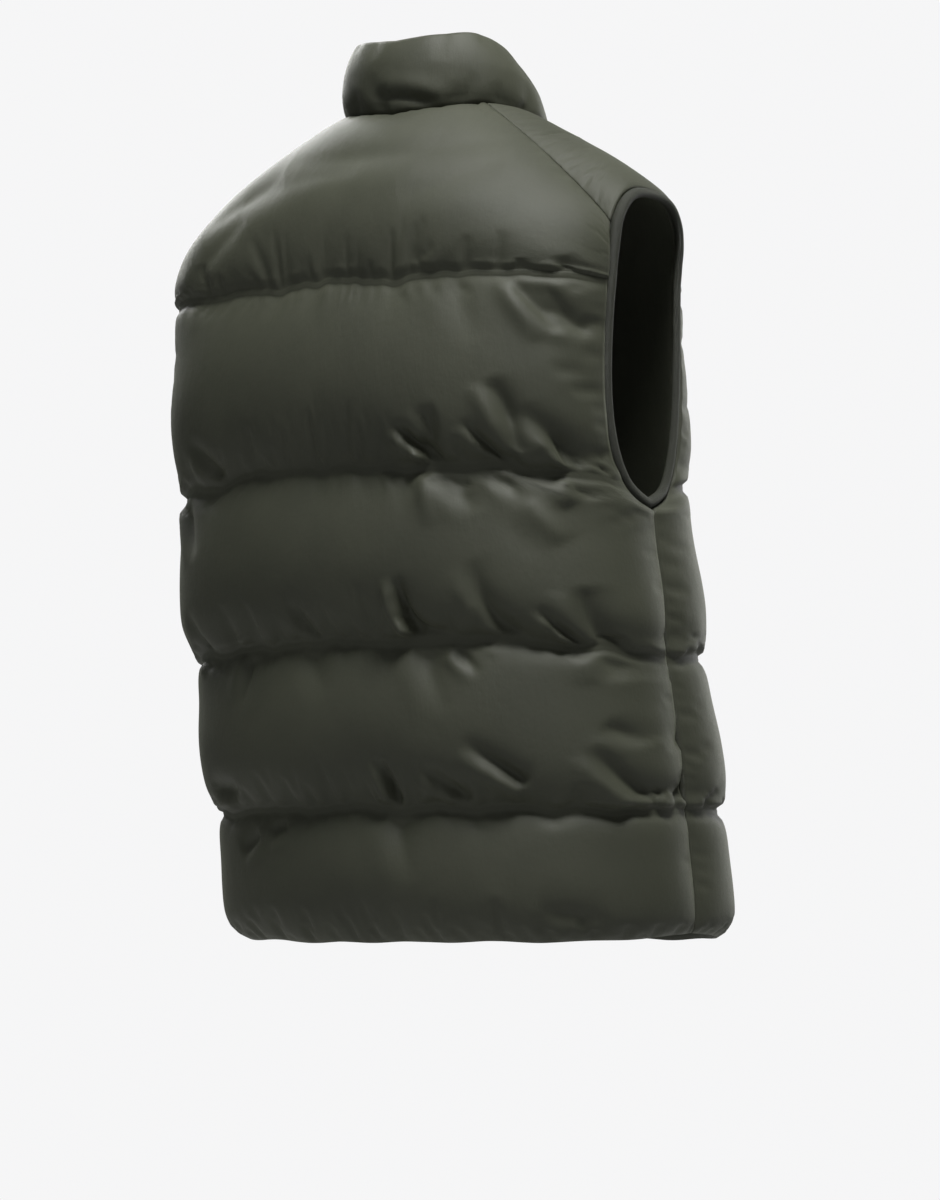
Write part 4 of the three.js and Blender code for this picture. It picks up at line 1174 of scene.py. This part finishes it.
def toothTree(material):
    tree = bpy.data.node_groups.new("zipTeeth", "GeometryNodeTree")
    face = tree.interface
    face.new_socket("Geometry", in_out="OUTPUT", socket_type="NodeSocketGeometry")
    face.new_socket("Geometry", in_out="INPUT", socket_type="NodeSocketGeometry")
    pitch = face.new_socket("Pitch", in_out="INPUT", socket_type="NodeSocketFloat")
    tooth = face.new_socket("Tooth", in_out="INPUT", socket_type="NodeSocketObject")
    enter, leave = addNode(tree, "NodeGroupInput"), addNode(tree, "NodeGroupOutput")
    toCurve = addNode(tree, "GeometryNodeMeshToCurve")
    points = addNode(tree, "GeometryNodeCurveToPoints", mode="LENGTH")
    info = addNode(tree, "GeometryNodeObjectInfo")
    index = addNode(tree, "GeometryNodeInputIndex")
    odd = addNode(tree, "ShaderNodeMath", {1: 2}, operation="MODULO")
    half = addNode(tree, "ShaderNodeMath", {1: math.pi}, operation="MULTIPLY")
    turn = addNode(tree, "ShaderNodeCombineXYZ")
    align = addNode(tree, "FunctionNodeAlignRotationToVector", axis="Y", pivot_axis="X")
    onPoints = addNode(tree, "GeometryNodeInstanceOnPoints")
    spin = addNode(tree, "GeometryNodeRotateInstances")
    realize = addNode(tree, "GeometryNodeRealizeInstances")
    setMaterial = addNode(tree, "GeometryNodeSetMaterial", {"Material": material})
    joinNodes(
        tree,
        (enter, "Geometry", toCurve, "Mesh"),
        (toCurve, "Curve", points, "Curve"),
        (enter, "Pitch", points, "Length"),
        (points, "Points", onPoints, "Points"),
        (enter, "Tooth", info, "Object"),
        (info, "Geometry", onPoints, "Instance"),
        (points, "Tangent", align, "Vector"),
        (align, "Rotation", onPoints, "Rotation"),
        (index, "Index", odd, 0),
        (odd, 0, half, 0),
        (half, 0, turn, "Y"),
        (onPoints, "Instances", spin, "Instances"),
        (turn, "Vector", spin, "Rotation"),
        (spin, "Instances", realize, "Geometry"),
        (realize, "Geometry", setMaterial, "Geometry"),
        (setMaterial, "Geometry", leave, "Geometry"),
    )
    return tree, pitch.identifier, tooth.identifier


def makeTeeth(material):
    path = zipPathPoints + zipOutward(zipPathPoints) * toothPiece["out"]
    reach = np.linspace(0, zipLength, len(path))
    path = path[(reach > toothPiece["bottomGap"]) & (reach < zipLength - toothPiece["topGap"])]
    mesh = bpy.data.meshes.new("zipTeeth")
    mesh.from_pydata((path * mm).tolist(), [(i, i + 1) for i in range(len(path) - 1)], [])
    guide = bpy.data.objects.new("zipTeethGuide", mesh)
    bpy.context.scene.collection.objects.link(guide)
    source = makeToothSource()
    tree, pitch, tooth = toothTree(material)
    modifier = guide.modifiers.new("teeth", "NODES")
    modifier.node_group = tree
    modifier[pitch] = toothPiece["pitch"] * mm
    modifier[tooth] = source
    bpy.context.view_layer.update()
    made = bpy.data.meshes.new_from_object(guide.evaluated_get(bpy.context.evaluated_depsgraph_get()))
    made.name = "zipTeeth"
    teeth = bpy.data.objects.new("zipTeeth", made)
    bpy.context.scene.collection.objects.link(teeth)
    bpy.data.objects.remove(guide)
    bpy.data.objects.remove(source)
    return teeth


# Materials, with colours from 0 to 255 as they show on a screen
def newMaterial(name):
    material = bpy.data.materials.new(name)
    material.use_nodes = True
    return material, material.node_tree, material.node_tree.nodes["Principled BSDF"]


def linear(rgb):
    return tuple(((c / 255) / 12.92 if c <= 10.3 else ((c / 255 + 0.055) / 1.055) ** 2.4) for c in rgb) + (1,)


nylonLook = {
    "tint": {"From Min": 0.35, "From Max": 0.7}, "rough": 0.5, "roughSpread": 0.16,
    "tall": 1.5, "small": 0.35, "weave": 0.08, "threads": {"Scale": 540, "Distortion": 1.2, "Detail": 1},
    "bump": {"Strength": 0.75, "Distance": 0.0011},
    "sheenTint": (168, 172, 150), "sheenRoughness": 0.45, "specular": 0.35,
}


# Nylon that is a little paler in places, with fine crinkles and the relief of its threads
def nylonGroup(look):
    tree = bpy.data.node_groups.new("quiltedNylon", "ShaderNodeTree")
    for way, name, kind in (
        ("INPUT", "Cut", "Vector"), ("INPUT", "Colour", "Color"), ("INPUT", "Worn", "Color"),
        ("INPUT", "Crinkle", "Float"), ("INPUT", "Thread", "Float"), ("OUTPUT", "Colour", "Color"),
        ("OUTPUT", "Roughness", "Float"), ("OUTPUT", "Normal", "Vector"),
    ):
        tree.interface.new_socket(name, in_out=way, socket_type="NodeSocket" + kind)
    enter, leave = addNode(tree, "NodeGroupInput"), addNode(tree, "NodeGroupOutput")

    def cutNoise(scale, detail, stretch=(1, 1, 1), roughness=0.55):
        mapping = addNode(tree, "ShaderNodeMapping", {"Scale": stretch})
        form = {"Scale": scale, "Detail": detail, "Roughness": roughness}
        grain = addNode(tree, "ShaderNodeTexNoise", form)
        joinNodes(tree, (enter, "Cut", mapping, "Vector"), (mapping, "Vector", grain, "Vector"))
        return grain.outputs["Fac"]

    def threads(direction):
        wave = addNode(tree, "ShaderNodeTexWave", look["threads"], bands_direction=direction)
        joinNodes(tree, (enter, "Cut", wave, "Vector"))
        return wave.outputs["Fac"]

    def reckon(kind, a, b):
        node = addNode(tree, "ShaderNodeMath", operation=kind)
        for socket, value in zip(node.inputs, (a, b)):
            if isinstance(value, (int, float)):
                socket.default_value = value
            else:
                tree.links.new(value, socket)
        return node.outputs[0]

    tint = addNode(tree, "ShaderNodeMix", data_type="RGBA")
    ramp = addNode(tree, "ShaderNodeMapRange", look["tint"])
    tree.links.new(cutNoise(9, 3), ramp.inputs["Value"])
    joinNodes(
        tree, (ramp, "Result", tint, "Factor"), (enter, "Colour", tint, "A"),
        (enter, "Worn", tint, "B"), (tint, "Result", leave, "Colour"),
    )
    spread = reckon("MULTIPLY", cutNoise(420, 3), look["roughSpread"])
    tree.links.new(reckon("ADD", look["rough"], spread), leave.inputs["Roughness"])

    # crinkles run mostly up and down the channel, and the weave lies over them
    tall = reckon("MULTIPLY", cutNoise(62, 4, (1.0, 0.42, 1), 0.62), look["tall"])
    small = reckon("MULTIPLY", cutNoise(150, 3, (0.8, 1.0, 1), 0.6), look["small"])
    crinkled = reckon("MULTIPLY", reckon("ADD", tall, small), enter.outputs["Crinkle"])
    weave = reckon("MULTIPLY", reckon("ADD", threads("X"), threads("Y")), enter.outputs["Thread"])
    height = reckon("ADD", crinkled, reckon("MULTIPLY", weave, look["weave"]))
    bump = addNode(tree, "ShaderNodeBump", look["bump"])
    tree.links.new(height, bump.inputs["Height"])
    joinNodes(tree, (bump, "Normal", leave, "Normal"))
    return tree


nylon = nylonGroup(nylonLook)


def clothMaterial(look):
    material, tree, shader = newMaterial(look["name"])
    uv = addNode(tree, "ShaderNodeUVMap", uv_map="cut")
    use = addNode(tree, "ShaderNodeGroup", node_tree=nylon)
    for name, value in {
        "Colour": linear(look["colour"]), "Worn": linear(look["worn"]),
        "Crinkle": look["crinkle"], "Thread": look["thread"],
    }.items():
        use.inputs[name].default_value = value
    joinNodes(
        tree, (uv, "UV", use, "Cut"), (use, "Colour", shader, "Base Color"),
        (use, "Roughness", shader, "Roughness"), (use, "Normal", shader, "Normal"),
    )
    shader.inputs["Specular IOR Level"].default_value = nylonLook["specular"]
    shader.inputs["Sheen Weight"].default_value = look["sheen"]
    shader.inputs["Sheen Roughness"].default_value = nylonLook["sheenRoughness"]
    shader.inputs["Sheen Tint"].default_value = linear(nylonLook["sheenTint"])
    return material


shellCloth = clothMaterial(dict(
    name="oliveNylon", colour=(57.5, 59.5, 48), worn=(65, 67, 54.5), crinkle=0.4, thread=0.5, sheen=0.22,
))
trimCloth = clothMaterial(dict(
    name="elasticBinding", colour=(44, 46, 38), worn=(50, 52, 43), crinkle=0.3, thread=2.2, sheen=0.1,
))
tapeCloth = clothMaterial(dict(
    name="zipTapeWeave", colour=(40, 41, 37), worn=(46, 47, 42), crinkle=0.1, thread=3.0, sheen=0.1,
))
hardGrain = {
    "noise": {"Scale": 900, "Detail": 4}, "smoother": 0.08, "rougher": 0.14,
    "bump": {"Strength": 0.15, "Distance": 0.0002},
}


def grainyMaterial(name, colour, metallic, rough):
    material, tree, shader = newMaterial(name)
    where = addNode(tree, "ShaderNodeTexCoord")
    grain = addNode(tree, "ShaderNodeTexNoise", hardGrain["noise"])
    spread = addNode(tree, "ShaderNodeMapRange", {
        "To Min": rough - hardGrain["smoother"], "To Max": rough + hardGrain["rougher"],
    })
    bump = addNode(tree, "ShaderNodeBump", hardGrain["bump"])
    joinNodes(
        tree, (where, "Object", grain, "Vector"), (grain, "Fac", spread, "Value"),
        (spread, "Result", shader, "Roughness"), (grain, "Fac", bump, "Height"),
        (bump, "Normal", shader, "Normal"),
    )
    shader.inputs["Base Color"].default_value = linear(colour)
    shader.inputs["Metallic"].default_value = metallic
    return material


darkMetal = grainyMaterial("darkZipMetal", (92, 92, 90), 1.0, 0.38)
toothPlastic = grainyMaterial("toothPlastic", (38, 38, 36), 0.0, 0.42)

teeth = makeTeeth(toothPlastic)
report("zip teeth")

# Each piece takes its solid's place
pieces = [
    (back, "back_panel", "shell", shellCloth),
    (left, "front_panel_left", "shell", shellCloth),
    (right, "front_panel_right", "shell", shellCloth),
    (collar, "collar", "shell", shellCloth),
    (bindingLeft, "armhole_binding_left", "trim", trimCloth),
    (bindingRight, "armhole_binding_right", "trim", trimCloth),
    (tapeLeft, "zip_tape_left", "zip_tape", tapeCloth),
    (tapeRight, "zip_tape_right", "zip_tape", tapeCloth),
]
for piece, node, slot, material in pieces:
    piece.data.materials.append(material)
    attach(piece, "vest")
    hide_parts(node)
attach(teeth, "vest")

# The slider and its pull are the solids themselves, with rounded edges
roundedEdges = {"width": 0.35, "segments": 3}
for node in ("zip_slider", "zip_pull"):
    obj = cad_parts[node]
    obj.data.materials.clear()
    obj.data.materials.append(darkMetal)
    bevel = obj.modifiers.new("roundedEdges", "BEVEL")
    bevel.width = roundedEdges["width"] * mm
    bevel.segments = roundedEdges["segments"]
    bevel.limit_method = "ANGLE"


# A pale studio, lit from above behind the vest, and from the front for views of the zip
studio = {
    "pale": (0.92, 0.92, 0.925, 1), "sky": (0.95, 0.97, 1.0, 1), "skyPower": 0.115,
    "floor": (0.4, 0.4, 0.4, 1), "floorRough": 0.9, "floorHalf": 12, "floorLevel": -1.15,
    "toCamera": (-0.53, 0.848, 0), "toRight": (-0.848, -0.53, 0), "middle": (0, 0, -0.3),
}
lamps = [
    dict(name="keyLamp", right=0.42, up=2.2, near=1.15, size=0.9, power=78),
    dict(name="fillLamp", right=-1.6, up=0.7, near=2.2, size=2.2, power=7),
    dict(name="topLamp", right=0.2, up=2.4, near=0.1, size=1.2, power=13),
    dict(name="frontLamp", right=-0.9, up=1.5, near=-2.2, size=1.6, power=62),
    dict(name="frontFill", right=1.5, up=0.5, near=-2.0, size=1.8, power=17),
]


# The camera sees one shader, and the light meets the other
def mixForCamera(tree, lit, seen, output):
    path = addNode(tree, "ShaderNodeLightPath")
    choose = addNode(tree, "ShaderNodeMixShader")
    joinNodes(
        tree, (path, "Is Camera Ray", choose, "Fac"), (lit, 0, choose, 1), (seen, 0, choose, 2),
        (choose, "Shader", tree.nodes[output], "Surface"),
    )


def paleWorld():
    world = bpy.data.worlds.new("paleStudio")
    bpy.context.scene.world = world
    world.use_nodes = True
    tree = world.node_tree
    seen = tree.nodes["Background"]
    seen.inputs["Color"].default_value = studio["pale"]
    lit = addNode(tree, "ShaderNodeBackground", {"Color": studio["sky"], "Strength": studio["skyPower"]})
    mixForCamera(tree, lit, seen, "World Output")


def paleFloor():
    material, tree, shader = newMaterial("paleFloor")
    shader.inputs["Base Color"].default_value = studio["floor"]
    shader.inputs["Roughness"].default_value = studio["floorRough"]
    pale = addNode(tree, "ShaderNodeEmission", {"Color": studio["pale"]})
    mixForCamera(tree, shader, pale, "Material Output")
    mesh = bpy.data.meshes.new("paleFloor")
    half = studio["floorHalf"]
    corners = [(-half, -half, 0), (half, -half, 0), (half, half, 0), (-half, half, 0)]
    mesh.from_pydata(corners, [], [(0, 1, 2, 3)])
    mesh.materials.append(material)
    ground = bpy.data.objects.new("paleFloor", mesh)
    bpy.context.scene.collection.objects.link(ground)
    ground.location.z = studio["floorLevel"]
    return ground


def makeStudio():
    scene = bpy.context.scene
    scene.view_settings.view_transform = "Standard"
    paleWorld()
    made = [paleFloor()]
    toCamera, toRight, middle = (Vector(studio[key]) for key in ("toCamera", "toRight", "middle"))
    for lamp in lamps:
        data = bpy.data.lights.new(lamp["name"], "AREA")
        data.shape = "DISK"
        data.size = lamp["size"]
        data.energy = lamp["power"]
        obj = bpy.data.objects.new(lamp["name"], data)
        scene.collection.objects.link(obj)
        aside = toRight * lamp["right"] + toCamera * lamp["near"]
        obj.location = middle + aside + Vector((0, 0, lamp["up"]))
        obj.rotation_euler = (middle - obj.location).to_track_quat("-Z", "Y").to_euler()
        made.append(obj)


makeStudio()
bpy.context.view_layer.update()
report("ready")
